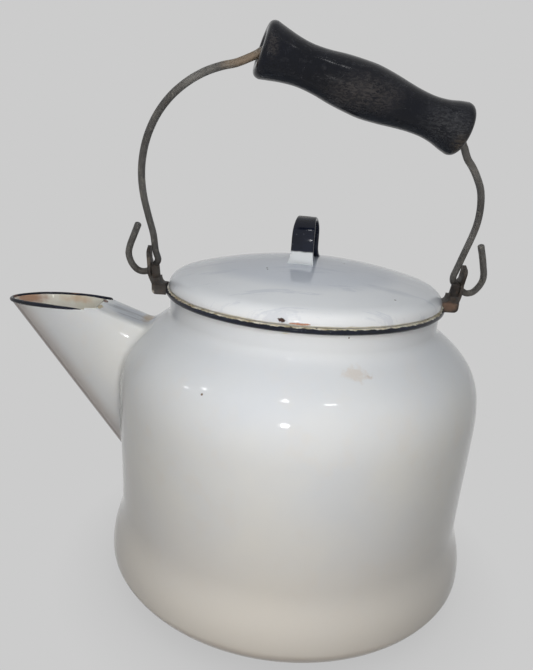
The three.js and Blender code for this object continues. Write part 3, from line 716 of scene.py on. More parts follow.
lip = {
    "radius": 1.1, "near": 0.64, "far": 0.9, "past": 0.02, "fadeOver": 0.03, "sides": 14, "wobble": 0.25,
    "wobbleLength": 9, "seed": 4, "sharp": 50, "endShare": 0.45, "endSteps": 6, "blendSteps": 16,
    "nearShare": 1.1, "nearTaper": 0.4, "farShare": 0.8,
    "chips": [mark((-170.0, 2.0, 162.0), (2.2, 3.2, 1.4), rgb(92, 64, 50), 0.7, 0.5, 500.0, 0.25),
              mark((-139.0, 17.0, 163.0), (4.0, 2.0, 1.2), rgb(120, 84, 60), 0.6, 0.5, 500.0, 0.25)],
}


def spoutLoop(section, inward):
    # section: length, half width, half width at the flat end, and where along it is widest
    length, halfWidth, endHalfWidth, widestShare = section
    corner = spout["corner"]
    widest, wide, end = length * widestShare, halfWidth - inward, length - inward
    ridge = [(widest + (widest - inward) * math.cos(a), wide * math.sin(a))
             for a in np.linspace(math.pi, math.pi / 2, 33)]
    sideEnd = (length - corner,
               endHalfWidth + (halfWidth - endHalfWidth) * corner / (length - widest) - inward)
    side = quadratic((widest, wide), (widest + (length - widest) * spout["sideBulge"], wide), sideEnd, 14)
    bend = quadratic(sideEnd, (end, endHalfWidth - inward), (end, endHalfWidth - corner), 8)
    flat = [(end, (endHalfWidth - corner) * k / 8) for k in range(7, -1, -1)]
    half = np.array(ridge + list(side[1:]) + list(bend[1:]) + flat)
    return np.vstack([half, half[1:-1][::-1] * (1, -1)])


def mouthRing(inward):
    s = spout
    length = s["mouth"][0]
    loop = spoutLoop(s["mouth"], inward)
    fromHeel = np.clip(1 - loop[:, 0] / length, 0, 1)
    height = s["mouthHeight"] + s["mouthArch"] * np.sin(math.pi * s["mouthWave"] * fromHeel)
    return np.column_stack([loop[:, 0] - s["mouthHeel"] - length, loop[:, 1], height])


def rootRing(inward):
    s = spout
    loop = spoutLoop(s["root"], inward)
    height = s["rootTop"] - s["root"][0] + loop[:, 0]
    return np.column_stack([np.full(len(loop), -s["rootReach"]), loop[:, 1], height])


def between(start, end, share):
    return start + (end - start) * np.reshape(share, (-1, 1))


def meetBody(start, end, gap=0.0):
    # share of each line at which it reaches the body
    low, high = np.zeros(len(start)), np.ones(len(start))
    for _ in range(spout["halvings"]):
        t = (low + high) / 2
        p = between(start, end, t)
        outside = np.hypot(p[:, 0], p[:, 1]) > wallRadiusAt(p[:, 2]) + gap
        low, high = np.where(outside, t, low), np.where(outside, high, t)
    return low


def onWall(points, gap):
    scale = (wallRadiusAt(points[:, 2]) + gap) / np.hypot(points[:, 0], points[:, 1])
    return points * np.column_stack([scale, scale, np.ones(len(scale))])


def loweredForLip(mouth, root):
    # the mouth's edge ends under the rolled lip, which stops short of the heel's middle
    count = len(mouth)
    k = np.arange(count)
    share = np.minimum(k, count - k) / (count / 2)
    ends = np.where(k < count / 2, lip["far"], lip["near"])
    drop = lip["radius"] * np.clip((ends + lip["past"] - share) / lip["fadeOver"], 0, 1)
    return between(mouth, root, drop / (mouth[:, 2] - root[:, 2]))


def makeSpout():
    s = spout
    rootOut, rootIn = rootRing(0), rootRing(s["wall"])
    mouthOut, mouthIn = loweredForLip(mouthRing(0), rootOut), loweredForLip(mouthRing(s["wall"]), rootIn)
    count = len(mouthOut)
    meets = meetBody(mouthOut, rootOut)
    contact = between(mouthOut, rootOut, meets)
    start = between(mouthOut, rootOut, meets - s["fillet"] / np.linalg.norm(rootOut - mouthOut, axis=1))
    tangent = np.roll(contact, -1, axis=0) - np.roll(contact, 1, axis=0)
    h = s["slopeStep"]
    slope = (wallRadiusAt(contact[:, 2] + h) - wallRadiusAt(contact[:, 2] - h)) / (2 * h)
    around = np.arctan2(contact[:, 1], contact[:, 0])
    away = np.cross(tangent, np.column_stack([np.cos(around), np.sin(around), -slope]))
    away /= np.linalg.norm(away, axis=1)[:, None]
    flip = np.sign(((contact - contact.mean(axis=0)) * away).sum(axis=1))
    landing = onWall(contact + away * flip[:, None] * s["fillet"], s["landGap"])
    outerSteps, filletSteps, innerSteps = s["steps"]
    outer = [between(mouthOut, start, t) for t in np.linspace(0, 1, outerSteps)]
    fillet = [start * (1 - t) ** 2 + contact * 2 * t * (1 - t) + landing * t ** 2
              for t in np.linspace(0, 1, filletSteps)]
    innerEnd = between(mouthIn, rootIn, meetBody(mouthIn, rootIn, s["innerGap"]))
    inner = [between(mouthIn, innerEnd, t) for t in np.linspace(1, 0, innerSteps)]
    edge = (mouthOut + mouthIn) / 2 + [0, 0, s["edgeRise"]]
    rings = outer[:-1] + fillet + [onWall(landing, -s["sunk"])] + inner + [edge]
    obj = bandMesh("spoutShell", rings, sharp=50)
    innerRings = [k >= outerSteps + filletSteps for k in range(len(rings))]
    pointValues(obj.data, "inside", np.repeat(innerRings, count))
    setPiece(obj, "pot", "spout_shell", whiteEnamel("spoutEnamel", s, ridgeAndBridgeShade))


def ridgeAndBridgeShade(net, colour):
    # a brown haze and line painted along the ridge as shade where the sides turn under, and a grey-blue
    # painted shade with grey streaks in it on the strip towards the body
    s = spout
    at = net.axes()
    tipX, tipZ = s["ridgeAt"]
    # height above the ridge line, which falls towards the body
    above = at["Z"] - ((at["X"] - tipX * mm) * s["ridgeSlope"] + tipZ * mm)
    grain, reach = s["wander"]
    wander = net.wander(net.place(), grain, reach * mm)
    for (low, high), ruffle, share, tone in s["bands"]:
        band = net.remap(above + wander * ruffle, low * mm, high * mm, 1.0, 0.0, smooth=True)
        colour = net.blend(band * (1.0 - net.inside()) * share, colour, tone)
    # painted shade on the strip towards the body, with grey streaks within it
    bridge = net.spot(*s["bridge"])
    colour = net.blend(bridge * s["bridgeShare"], colour, s["bridgeTone"])
    return net.blend(bridge * net.scratches(*s["streaks"]) * s["streakShare"], colour, s["streakTone"])


def sweepTree():
    # a round bar along a run of edges; its thickness comes from the points
    net, given = newGroup("roundBar", {
        "Geometry": "Geometry", "Radius": "Float", "Sides": "Int", "Hand Wobble": "Float",
        "Wobble Length": "Float", "Seed": "Int", "Finish": "Material"}, "GeometryNodeTree")
    line = net.add("GeometryNodeMeshToCurve", {"Mesh": given["Geometry"]})
    scale = net.maths("DIVIDE", 1.0, given["Wobble Length"])
    place = net.add("GeometryNodeInputPosition")
    texture = net.add("ShaderNodeTexNoise", {"Vector": place, "W": given["Seed"], "Scale": scale},
                      noise_dimensions="4D")
    centred = net.vector("SUBTRACT", texture["Color"], (0.5, 0.5, 0.5))
    scaled = net.add("ShaderNodeVectorMath", operation="SCALE")
    net.join(scaled.node, {0: centred, "Scale": given["Hand Wobble"]})
    moved = net.add("GeometryNodeSetPosition", {"Geometry": line, "Offset": scaled})
    section = net.add("GeometryNodeCurvePrimitiveCircle", {"Resolution": given["Sides"],
                                                           "Radius": given["Radius"]})
    thick = net.add("GeometryNodeInputNamedAttribute", {"Name": "thickness"}, data_type="FLOAT")
    bar = net.add("GeometryNodeCurveToMesh", {"Curve": moved, "Profile Curve": section, "Scale": thick,
                                              "Fill Caps": True})
    bar = net.add("GeometryNodeRealizeInstances", {"Geometry": bar})
    bar = net.add("GeometryNodeSetMaterial", {"Geometry": bar, "Material": given["Finish"]})
    return net.close(Geometry=bar)


roundBar = sweepTree()


def barObject(name, route, thickness, look, material):
    mesh = plainMesh(name, route, [(k, k + 1) for k in range(len(route) - 1)], [])
    pointValues(mesh, "thickness", thickness)
    obj = newObject(name, mesh)
    runTree(obj, roundBar, {
        "Radius": look["radius"] * mm, "Sides": look["sides"], "Hand Wobble": look["wobble"] * mm,
        "Wobble Length": look["wobbleLength"] * mm, "Seed": look["seed"], "Finish": material})
    smooth(obj.data, look["sharp"])
    return obj


def makeLip():
    p = lip
    mouth, root = mouthRing(spout["wall"] / 2), rootRing(spout["wall"] / 2)
    middle = between(mouth, root, p["radius"] / (mouth[:, 2] - root[:, 2]))
    half = len(middle) // 2
    near, far = int(half * p["near"]), int(half * p["far"])
    route = np.array([middle[k % len(middle)] for k in range(-near, far + 1)])
    k = np.arange(len(route))
    fromEnd = np.minimum(k, len(route) - 1 - k)
    taper = np.minimum(1, p["endShare"] + (1 - p["endShare"]) * fromEnd / p["endSteps"])
    toFar = np.clip((k - near + p["blendSteps"] / 2) / p["blendSteps"], 0, 1)
    nearBead = p["nearShare"] * (0.5 + 0.5 * np.clip(k / (near * p["nearTaper"]), 0, 1))
    thickness = taper * (nearBead * (1 - toFar) + p["farShare"] * toFar)
    obj = barObject("spoutLip", route, thickness, p, navyEnamel("lipEnamel", p))
    setPiece(obj, "pot", "spout_lip")


makeSpout()
makeLip()


# Lid

lid = {
    "radius": 78.3, "base": 176.9, "top": 195.9, "shoulderRadius": 70.5, "shoulderRise": 8.4,
    "shoulderPull": 0.75, "slope": 0.28, "crownPull": 0.31, "topPull": 0.34, "hemWidth": 4.4, "hemRound": 0.8,
    "sheet": 1.4, "segments": 224, "waves": 0.8,
    # painted light: the whole lid is tinted cool, as cool light falls on its top
    "tints": [("fade", (150, 172, 6, 20.0), 0.7, coolWhite)],
    # a yellowed hem; then painted reflection, a lighter edge and a crown that is greyer and cooler; and
    # painted shade, greyer towards the rear
    "layers": [
        ("below", (177.0, 178.3, 0.8, 150.0), 0.7, rgb(188, 172, 136)),
        ("fade", (177.0, 178.3, 0.8, 150.0), 0.7, rgb(242, 244, 248)),
        ("fade", (188.5, 191.5, 1.5, 16.0), 0.75, rgb(208, 213, 224)),
        # painted shade: greyer towards the rear
        ("along", ("Y", -40, 50), 0.65, rgb(188, 194, 206)),
        ("scratches", (22.0, (1, 5, 1), 0.56), 0.3, rgb(186, 192, 208))],
    "chips": [mark((-14.9, -76.7, 179.1), (2.3, 3, 1.1), rgb(66, 42, 34), 1.0, 0.9, 700.0)],
    "marks": [
        mark((-22.9, -23.8, 193.3), 0.75, rgb(60, 62, 70), soft=0.5),
        mark((-22.6, -26.4, 193.0), 0.55, rgb(70, 72, 80), soft=0.5),
        mark((-6.8, -77.8, 178.0), (6.0, 2.4, 0.6), rgb(176, 108, 56), 0.85, 0.7, 500.0),
        # painted reflection of darker surroundings: a cool grey band at the front right and a grey patch at
        # the left rear
        mark((44.0, -40.0, 189.0), (30, 5, 5), rgb(206, 210, 220), 0.5, grain=60.0, soft=0.9),
        mark((-60.0, 20.0, 187.0), (16, 4, 4), rgb(170, 172, 184), 0.5, grain=120.0, soft=0.9)],
}
skirt = {
    "outer": 75.3, "inner": 74.1, "top": 176.6, "bottom": 163.6, "footRound": (0.4, 0.5, 1.0),
    "topRound": 0.2, "segments": 192, "waves": 0.5,
    "layers": [("clouds", (190.0, 0.58, 0.72, 6.0), 0.6, rgb(164, 128, 92))],
}


def makeLid():
    c = lid
    radius, base, top, drop = c["radius"], c["base"], c["top"], c["hemRound"]
    shoulder = (c["shoulderRadius"], base + c["shoulderRise"])
    pull = (radius, base + c["shoulderRise"] * c["shoulderPull"])
    edge = quadratic((radius, base + drop), pull, shoulder, 16)
    lean = shoulder[0] * c["crownPull"]
    crown = bezier(shoulder, (shoulder[0] - lean, shoulder[1] + lean * c["slope"]),
                   (shoulder[0] * c["topPull"], top), (0, top), 34)
    outside = chain(edge, crown)
    outside[-1, 0] = 0
    inside = offset(outside, c["sheet"])
    inside = inside[inside[:, 0] < radius - c["hemWidth"]][::-1]
    inside[0, 0] = 0
    hem = quadratic((radius - drop, base), (radius, base), (radius, base + drop), 5)
    obj = lathe("lidCover", chain(inside, (radius - c["hemWidth"], base), hem, outside), c["segments"])
    setPiece(obj, "lid", "lid_cover", whiteEnamel("lidEnamel", c))


def makeSkirt():
    k = skirt
    outer, inner, top, bottom = k["outer"], k["inner"], k["top"], k["bottom"]
    lead, inset, rise = k["footRound"]
    outline = [(inner, bottom + lead), (inner + lead, bottom), (outer - inset, bottom),
               (outer, bottom + rise), (outer, top - k["topRound"]), (outer - k["topRound"], top),
               (inner, top)]
    setPiece(lathe("lidSkirt", outline, k["segments"]), "lid", "lid_skirt",
             whiteEnamel("skirtEnamel", k))


makeLid()
makeSkirt()


# Strap handle on the lid

strap = {
    "width": 12.5, "thickness": 2.2, "span": 26.0, "top": 219.8, "toe": 3.6, "footHeight": 195.6,
    "footBend": [(1.6, 0.1), (-1.7, 0.9), (-0.5, 2.3), (0, 4.4)], "toeDrop": 0.6, "legFrom": 5.6,
    "turn": math.radians(11), "offset": -1.7, "crownNarrowing": 0.16, "narrowedOver": 9.0,
    "swell": 0.55, "swellAt": 2.2, "swellOver": 2.0, "toeShare": 0.42, "toeOver": 2.4, "footWider": 0.16,
    "widerOver": 2.2, "roundUpTo": 2.0, "roundShare": 0.42, "roundSteps": 5, "whiteBelow": (200.9, 202.0),
    "chips": [mark((4.2, -12.6, 212.0), (1.1, 3, 8), rgb(120, 104, 92), 0.7, 0.5, 500.0, 0.5),
              mark((-3.0, 0.0, 219.8), (5, 4, 1.2), rgb(74, 66, 62), 0.6, 0.5, 500.0, 0.6)],
}


def strapPath():
    s = strap
    arm = s["span"] / 2 - s["thickness"] / 2
    arch = s["top"] - s["span"] / 2
    toe, foot = -s["span"] / 2 - s["toe"], s["footHeight"]
    onToe, onArm = s["footBend"][:1], s["footBend"][1:]
    half = [(toe, foot - s["toeDrop"])] + [(toe + y, foot + z) for y, z in onToe]
    half += [(-arm + y, foot + z) for y, z in onArm]
    half += [(-arm, z) for z in np.linspace(foot + s["legFrom"], arch, 7)]
    bow = [(-arm * math.cos(a), arch + arm * math.sin(a)) for a in np.linspace(0, math.pi, 33)[1:-1]]
    return np.array(half + bow + [(-y, z) for y, z in half[::-1]])


def makeStrap():
    s = strap
    path = strapPath()
    rise = path[:, 1] - s["footHeight"]
    thick = s["thickness"] * (1 + s["swell"] * np.exp(-((rise - s["swellAt"]) / s["swellOver"]) ** 2))
    thick = thick * np.clip(s["toeShare"] + rise / s["toeOver"], s["toeShare"], 1)
    toCrown = np.clip((path[:, 1] - s["top"] + s["narrowedOver"]) / s["narrowedOver"], 0, 1)
    wide = s["width"] * (1 - s["crownNarrowing"] * toCrown ** 2)
    wide = wide * (1 + s["footWider"] * np.exp(-np.clip(rise, 0, None) / s["widerOver"]))
    steps = s["roundSteps"]
    section = []
    for cx, cy, start in ((1, 1, 0), (-1, 1, 0.5), (-1, -1, 1), (1, -1, 1.5)):
        section += [(cx, cy, start * math.pi + k * math.pi / 2 / steps) for k in range(steps + 1)]
    rings = []
    for (y, z), (sy, sz), t, w in zip(path, directions(path)[1], thick, wide):
        edge = min(t, s["roundUpTo"]) * s["roundShare"]
        ring = []
        for cx, cy, a in section:
            d = cy * (t / 2 - edge) + edge * math.sin(a)
            ring.append((cx * (w / 2 - edge) + edge * math.cos(a), y + sy * d, z + sz * d))
        rings.append(ring)
    rings = np.array(rings)
    c, n = math.cos(-s["turn"]), math.sin(-s["turn"])
    x = rings[..., 0] * c - rings[..., 1] * n + s["offset"]
    y = rings[..., 0] * n + rings[..., 1] * c
    obj = bandMesh("lidHandle", list(np.stack([x, y, rings[..., 2]], axis=-1)), sharp=60, wrap=False)
    setPiece(obj, "lid", "lid_handle", navyEnamel("handleEnamel", s))


makeStrap()


# Bail wire, with a hook at each end

bailWire = {
    "radius": 1.885, "eyeHeight": 184.2, "halfSpan": 86.715, "lean": math.radians(25), "hookReach": 15.0,
    "hookHeight": 29.9, "gripStart": (-32.5, 126.4), "gripTilt": math.radians(-17.9), "gripLength": 105.0,
    "mouthDepth": 3.6, "bendDepth": 1.6, "bendDrop": 0.9, "sides": 16, "wobble": 0.3, "wobbleLength": 22,
    "seed": 2, "sharp": 50, "perSpan": 7, "endStep": 0.3, "endShare": 0.86,
}
spoutHookShares = [
    (0.529, 1), (0.756, 0.717), (0.904, 0.526), (0.992, 0.351), (0.975, 0.214), (0.871, 0.059),
    (0.699, -0.044), (0.505, -0.075), (0.327, -0.054), (0.173, -0.01), (0.06, 0.074),
]
farHookShares = [
    (0.512, 0.998), (0.734, 0.714), (0.868, 0.522), (0.976, 0.353), (1.007, 0.204), (0.923, 0.034),
    (0.765, -0.085), (0.56, -0.115), (0.35, -0.065), (0.173, -0.01), (0.06, 0.074),
]
spoutLegShares = [
    (0.028, 0.052), (0.01, 0.1), (-0.001, 0.185), (-0.039, 0.282), (-0.07, 0.374), (-0.077, 0.451),
    (-0.061, 0.527), (-0.016, 0.611), (0.059, 0.692), (0.148, 0.757), (0.266, 0.818), (0.392, 0.864),
    (0.535, 0.902), (0.678, 0.927), (0.8, 0.941), (0.9, 0.96), (0.965, 0.974),
]
farLegShares = [
    (0.06, 0.045), (0.11, 0.082), (0.085, 0.13), (0.05, 0.185), (-0.003, 0.275), (-0.06, 0.364),
    (-0.09, 0.457), (-0.062, 0.538), (0.013, 0.617), (0.133, 0.687), (0.354, 0.764), (0.531, 0.813),
    (0.672, 0.846), (0.775, 0.88), (0.84, 0.906), (0.92, 0.932), (0.985, 0.96),
]
steelIor = 1.4
wireLook = {
    "metallic": 0.35, "tones": (rgb(120, 118, 115), rgb(84, 83, 82)), "clouds": (45.0, 0.35, 0.65, 4.0),
    "rust": {"Scale": 330.0, "Amount": 0.4, "Orange": rgb(104, 92, 80), "Brown": rgb(46, 44, 43)},
    "rustShare": 0.45, "roughness": (0.35, 0.65, 0.36, 0.62), "bump": 0.16,
    # golden near the grip, streaked along, and worn darker in both eyes
    "layers": [
        mark((-40, -53, 294), (15, 9, 9), rgb(150, 128, 104), 0.55, 0.5, 140.0, 0.7),
        ("scratches", (150.0, (3, 3, 1), 0.56), 0.35, rgb(150, 146, 138)),
        mark((-92, -1, 183), (9, 8, 7), rgb(74, 68, 62), 0.5, 0.6, 200.0, 0.6),
        mark((92, -1, 183), (9, 8, 7), rgb(74, 68, 62), 0.5, 0.6, 200.0, 0.6)],
}


def onBail(across, up):
    # from the bail's own plane to the pot's frame
    lean = bailWire["lean"]
    return (across, -up * math.sin(lean), bailWire["eyeHeight"] + up * math.cos(lean))


def gripPlace(along, below=0.0):
    c, s = math.cos(bailWire["gripTilt"]), math.sin(bailWire["gripTilt"])
    across, up = bailWire["gripStart"]
    return (across + along * c + below * s, up + along * s - below * c)


def bailRoute():
    w = bailWire
    span, length = w["halfSpan"], w["gripLength"]

    def hook(side, shares):
        return [(side * (span + a * w["hookReach"]), u * w["hookHeight"]) for a, u in shares]

    def leg(side, end, shares):
        return [(side * span + (end[0] - side * span) * a, end[1] * u) for a, u in shares]

    depths = [(w["bendDepth"], w["bendDrop"]), (w["mouthDepth"], 0), (w["mouthDepth"] + 2 * w["radius"], 0)]
    through = [gripPlace(d, b) for d, b in depths] + [gripPlace(length - d, b) for d, b in depths[::-1]]
    near = hook(-1, spoutHookShares) + leg(-1, gripPlace(0), spoutLegShares)
    far = hook(1, farHookShares) + leg(1, gripPlace(length), farLegShares)
    return throughPoints(near + through + far[::-1], w["perSpan"])


def rustySteel(name, look, layers):
    material, net = newMaterial(name, Metallic=look["metallic"], IOR=steelIor)
    crust = net.use("rust", **look["rust"])
    colour = net.blend(net.clouds(*look["clouds"]), *look["tones"])
    colour = net.blend(crust * look["rustShare"], colour, crust["Color"])
    height = crust["Height"]
    net.dress(net.layers(colour, layers), net.remap(height, *look["roughness"]), height, look["bump"])
    return material


def makeWire():
    w = bailWire
    route = np.array([onBail(a, u) for a, u in bailRoute()])
    for end, before in ((0, 1), (-1, -2)):
        along = route[end] - route[before]
        route[before] = route[end] - along / np.linalg.norm(along) * w["endStep"]
    thickness = np.ones(len(route))
    thickness[[0, -1]] = w["endShare"]
    steel = rustySteel("tarnishedWire", wireLook, wireLook["layers"])
    setPiece(barObject("bailWire", route, thickness, w, steel), "bail", "bail_wire")


makeWire()


# Turned grip

grip = {
    "radius": 12.9, "waist": 9.8, "endRound": 3.6, "bore": 2.3, "mouthRadius": 7.0, "mouthPull": (0.8, 0.6),
    "mouthEdge": 0.6, "perSpan": 7, "segments": 96,
    "swell": [(0.075, 0.69), (0.13, 0.31), (0.2, 0.04), (0.28, 0.17), (0.36, 0.56), (0.44, 0.8), (0.51, 0.9),
              (0.6, 0.65), (0.68, 0.28), (0.75, 0.03), (0.82, 0), (0.88, 0.28), (0.93, 0.74)],
}
gripLook = {
    "ior": 1.33, "tones": (rgb(7, 9, 17), rgb(14, 17, 27)), "clouds": (30.0, 0.35, 0.7),
    "grain": (60.0, (1, 7, 7), 0.55), "grainTone": rgb(36, 37, 42), "grainShare": 0.2, "grainDepth": -0.3,
    "dust": (420.0, 0.55, 0.75, 5.0), "dustTone": rgb(70, 71, 76), "dustShare": 0.22,
    "roughness": 0.1, "cloudRoughness": 0.1, "wornRoughness": 0.3, "wornDepth": 0.7, "bump": 0.1,
    "wornEdge": (0.35, 90.0, 0.9), "wornClouds": (120.0, 0.36, 0.74, 6.0), "wornCloudShare": 0.6,
    "scuffs": ((1.2, 3, 3), 0.47),
    # place, size, colour, how much it covers, and the scale of its scuffs
    "worn": [
        ((15.5, -59.3, 281.3), (26, 12, 13), rgb(84, 79, 76), 0.42, 340.0),
        ((57.3, -52.6, 271.3), (17, 12, 14), rgb(88, 89, 92), 0.36, 340.0),
        ((64.0, -51.0, 261.5), (6, 8, 9), rgb(96, 86, 72), 0.5, 200.0),
        ((-27.0, -62.0, 299.0), (4, 8, 9), rgb(84, 78, 74), 0.4, 340.0),
        ((20.0, -36.0, 292.0), (34, 9, 8), rgb(70, 70, 74), 0.4, 340.0)],
}


def blackWood():
    # black lacquer over wood, dusted and scuffed grey along the barrel and brown at one end
    look = gripLook
    material, net = newMaterial("wornLacquer", IOR=look["ior"])
    tone = net.clouds(*look["clouds"])
    grain = net.scratches(*look["grain"])
    colour = net.blend(tone, *look["tones"])
    colour = net.blend(grain * look["grainShare"], colour, look["grainTone"])
    colour = net.blend(net.clouds(*look["dust"]) * look["dustShare"], colour, look["dustTone"])
    rough = tone * look["cloudRoughness"] + look["roughness"]
    height = grain * look["grainDepth"]
    for at, size, worn, share, scale in look["worn"]:
        cloud = net.clouds(*look["wornClouds"]) * look["wornCloudShare"]
        patchy = net.maths("MAXIMUM", net.scratches(scale, *look["scuffs"]), cloud)
        mask = net.spot(at, size, *look["wornEdge"]) * patchy
        colour = net.blend(mask * share, colour, worn)
        rough = rough + mask * look["wornRoughness"]
        height = height - mask * look["wornDepth"]
    net.dress(colour, rough, height, look["bump"])
    return material


def makeGrip():
    g, w = grip, bailWire
    length, radius, end = w["gripLength"], g["radius"], g["endRound"]
    swell = [(g["waist"] + (radius - g["waist"]) * s, length * a) for a, s in g["swell"]]
    startEdge = quadratic((radius - end, 0), (radius, 0), (radius, end), 8)
    endEdge = quadratic((radius, length - end), (radius, length), (radius - end, length), 8)
    barrel = throughPoints([startEdge[-1]] + swell + [endEdge[0]], g["perSpan"])
    pullIn, pullDeep = g["mouthPull"]
    mouth = quadratic((g["bore"], w["mouthDepth"]), (g["mouthRadius"] - pullIn, pullDeep),
                      (g["mouthRadius"] + g["mouthEdge"], 0), 6)
    outline = chain(mouth, startEdge, barrel, endEdge, (mouth * (1, -1) + (0, length))[::-1])
    obj = lathe("turnedGrip", outline, g["segments"])
    tilt = Matrix.Rotation(math.pi / 2 - w["gripTilt"], 4, "Y")
    move = Matrix.Translation((w["gripStart"][0] * mm, 0, w["gripStart"][1] * mm))
    lean = Matrix.Translation((0, 0, w["eyeHeight"] * mm)) @ Matrix.Rotation(w["lean"], 4, "X")
    obj.data.transform(lean @ move @ tilt)
    setPiece(obj, "grip", "grip", blackWood())


makeGrip()


# Ears, from the solids with their edges rounded; the foot is drawn in below pinchTop and beyond pinchFrom

ears = {
    "pinchTop": 183, "pinchFrom": 82, "pinchOver": 7, "weld": 0.01, "flat": 3, "bevel": 0.5, "segments": 3,
    "bevelFrom": 28, "sharp": 40,
    "metallic": 0.3, "tones": (rgb(84, 80, 77), rgb(52, 50, 50)), "clouds": (120.0, 0.4, 0.6, 4.0),
    "rust": {"Scale": 260.0, "Amount": 0.44, "Orange": rgb(98, 80, 66), "Brown": rgb(46, 42, 40)},
    "rustShare": 0.6, "roughness": (0.35, 0.65, 0.45, 0.8), "bump": 0.45,
    "spoutSide": [mark((-90.0, -6.5, 190.0), (3, 3, 4), rgb(120, 112, 104), 0.8, 0.5, 260.0, 0.5),
                  mark((-88.0, -6.5, 172.0), (1.6, 2, 1.6), rgb(206, 200, 188), 0.8, 0.5, 260.0, 0.5)],
    "farSide": [mark((84.0, -6.5, 174.5), (6, 3, 4), rgb(132, 106, 90), 0.8, 0.5, 260.0, 0.5),
                mark((91.0, -7.0, 190.0), (3, 3, 5), rgb(54, 46, 42), 0.8, 0.5, 260.0, 0.5)],
}


def makeEar(name, node, pinch, layers):
    e = ears
    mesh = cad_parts[node].data.copy()
    mesh.materials.clear()
    obj = newObject(name, mesh)
    obj.modifiers.new("weld", "WELD").merge_threshold = e["weld"] * mm
    flat = obj.modifiers.new("flat", "DECIMATE")
    flat.decimate_type = "DISSOLVE"
    flat.angle_limit = math.radians(e["flat"])
    soft = obj.modifiers.new("edges", "BEVEL")
    soft.width = e["bevel"] * mm
    soft.segments = e["segments"]
    soft.limit_method = "ANGLE"
    soft.angle_limit = math.radians(e["bevelFrom"])
    keepResult(obj)
    for v in obj.data.vertices:
        x, z = abs(v.co.x) / mm, v.co.z / mm
        low = np.clip((e["pinchTop"] - z) / e["pinchOver"], 0, 1)
        low *= np.clip((x - e["pinchFrom"]) / e["pinchOver"], 0, 1)
        v.co.x -= math.copysign(pinch * low * mm, v.co.x)
    smooth(obj.data, e["sharp"])
    setPiece(obj, "pot", node, rustySteel(name + "Steel", e, layers))


makeEar("earSpoutSide", "ear_spout_side", 1.8, ears["spoutSide"])
makeEar("earFarSide", "ear_far_side", 0.4, ears["farSide"])


# Camera, floor and light

view = {
    "at": (-26.9, -365.2, 257.6), "lookAt": (-20.33, 1.50, 148.0), "roll": math.radians(3.83), "lens": 34.335,
    "sensor": 36, "nearest": 0.02,
}


def makeCamera():
    data = bpy.data.cameras.new("camera")
    data.lens = view["lens"]
    data.sensor_width = view["sensor"]
    data.clip_start = view["nearest"]
    camera = newObject("camera", data)
    forward = (Vector(view["lookAt"]) - Vector(view["at"])).normalized()
    right = forward.cross(Vector((0, 0, 1))).normalized()
    up = right.cross(forward)
    c, s = math.cos(view["roll"]), math.sin(view["roll"])
    matrix = Matrix((c * right + s * up, c * up - s * right, -forward)).transposed().to_4x4()
    matrix.translation = Vector(view["at"]) * mm
    camera.matrix_world = matrix
    bpy.context.scene.camera = camera


makeCamera()

backdrop = {
    "colour": rgb(204, 204, 204), "floorRadius": 1100, "floorHeight": -0.4, "sides": 96, "fadeFrom": 0.25,
    "fadeTo": 0.6, "shadowReach": 0.04, "shadowDepth": 0.2, "shadowSamples": 16, "bounce": rgb(120, 116, 110),
    "sky": (0.93, 0.97, 1.0, 1), "skyStrength": 0.06,
}


def seenOrLit(net, seen, lit):
    # what the camera, gloss and glass see, and what the rest of the light meets
    paths = net.add("ShaderNodeLightPath")
    looks = net.maths("MAXIMUM", paths["Is Camera Ray"], paths["Is Glossy Ray"])
    looks = net.maths("MAXIMUM", looks, paths["Is Transmission Ray"])
    return net.add("ShaderNodeMixShader", {0: looks, 1: lit, 2: seen})


def makeFloor():
    b = backdrop
    count = b["sides"]
    turns = [2 * math.pi * k / count for k in range(count)]
    radius, height = b["floorRadius"], b["floorHeight"]
    points = [(0, 0, height)] + [(radius * math.cos(a), radius * math.sin(a), height) for a in turns]
    floor = meshObject("floor", points, [(0, k + 1, (k + 1) % count + 1) for k in range(count)])
    material = bpy.data.materials.new("paleFloor")
    material.use_nodes = True
    net = Net(material.node_tree)
    net.tree.nodes.clear()
    corner = net.add("ShaderNodeAmbientOcclusion", {"Distance": b["shadowReach"]}, samples=b["shadowSamples"])
    shade = net.remap(corner["AO"], 0.0, 1.0, 1 - b["shadowDepth"], 1.0)
    plain = net.add("ShaderNodeEmission", {"Color": b["colour"], "Strength": shade})
    both = seenOrLit(net, plain, net.add("ShaderNodeBsdfDiffuse", {"Color": b["bounce"]}))
    far = net.remap(net.vector("LENGTH", net.place()), b["fadeFrom"], b["fadeTo"], smooth=True)
    surface = net.add("ShaderNodeMixShader", {0: far, 1: both, 2: net.add("ShaderNodeBsdfTransparent")})
    net.add("ShaderNodeOutputMaterial", {"Surface": surface})
    floor.data.materials.append(material)
    print("floor made")


makeFloor()


def makeWorld():
    world = bpy.data.worlds.new("room")
    bpy.context.scene.world = world
    world.use_nodes = True
    net = Net(world.node_tree)
    net.tree.nodes.clear()
    sky = net.add("ShaderNodeBackground", {"Color": backdrop["sky"], "Strength": backdrop["skyStrength"]})
    seen = net.add("ShaderNodeBackground", {"Color": backdrop["colour"]})
    net.add("ShaderNodeOutputWorld", {"Surface": seenOrLit(net, seen, sky)})


makeWorld()

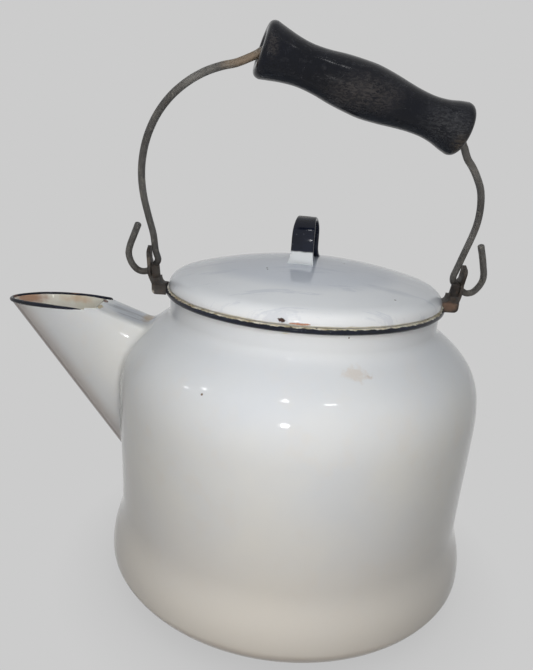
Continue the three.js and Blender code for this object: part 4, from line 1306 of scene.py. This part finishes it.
# soft lamps: place and size in metres, strength in watts, colour; they light without showing in the gloss
softLamps = {
    "key": ((-0.03, -0.375, 0.262), 0.3, 0.80, (1, 0.955, 0.885)),
    "upper": ((-0.025, -0.31, 0.455), 0.2, 0.36, (0.85, 0.93, 1)),
    "left": ((-0.9, -0.3, 0.2), 0.4, 0.5, (1, 0.98, 0.96)),
    "top": ((-0.05, 0.12, 0.58), 0.3, 0.2, (0.9, 0.95, 1)),
    "backLeft": ((-0.80, 1.39, 0.12), 0.9, 5, (0.95, 0.98, 1)),
    "back": ((0.28, 1.58, 0.12), 0.9, 7, (1, 0.99, 0.97)),
    "backRight": ((1.23, 1.03, 0.12), 0.9, 5, (0.95, 0.98, 1)),
}

# bulbs show as points in the gloss and light nothing: azimuth, height angle, width, height, brightness
bulbs = {
    "distance": 1.6, "middle": 0.14, "flashAt": (-0.054, -0.368, 0.240), "flashSize": 0.030, "flashGlow": 28,
    "places": [(-82, 31, 0.10, 0.05, 14), (-73.5, 40, 0.11, 0.06, 15), (-53, 49, 0.07, 0.04, 10),
               (-13.5, 57, 0.11, 0.09, 18), (24.6, 53.5, 0.17, 0.05, 17), (55, 42, 0.11, 0.035, 10)],
}
lampAim = (0, 0, 0.12)


def makeLamp(name, at, wide, high, power, colour=(1, 1, 1)):
    data = bpy.data.lights.new(name, "AREA")
    data.shape = "ELLIPSE"
    data.size, data.size_y = wide, high
    data.energy = power
    data.color = colour
    obj = newObject(name, data)
    obj.location = at
    obj.rotation_euler = (Vector(lampAim) - obj.location).to_track_quat("-Z", "Y").to_euler()
    return obj


def makeLamps():
    for name, (at, across, power, colour) in softLamps.items():
        makeLamp(name, at, across, across, power, colour).visible_glossy = False
    far = bulbs["distance"]
    spots = [(bulbs["flashAt"], bulbs["flashSize"], bulbs["flashSize"], bulbs["flashGlow"])]
    for turn, rise, wide, high, glow in bulbs["places"]:
        turn, rise = math.radians(turn), math.radians(rise)
        out = far * math.cos(rise)
        at = (out * math.sin(turn), -out * math.cos(turn), bulbs["middle"] + far * math.sin(rise))
        spots.append((at, wide, high, glow))
    for k, (at, wide, high, glow) in enumerate(spots):
        # watts that give an ellipse of this size this brightness
        power = glow * math.pi ** 2 * wide * high / 4
        makeLamp(f"bulb{k + 1}", at, wide, high, power).visible_diffuse = False
    print("lamps made")


makeLamps()

bpy.context.scene.view_settings.view_transform = "Standard"
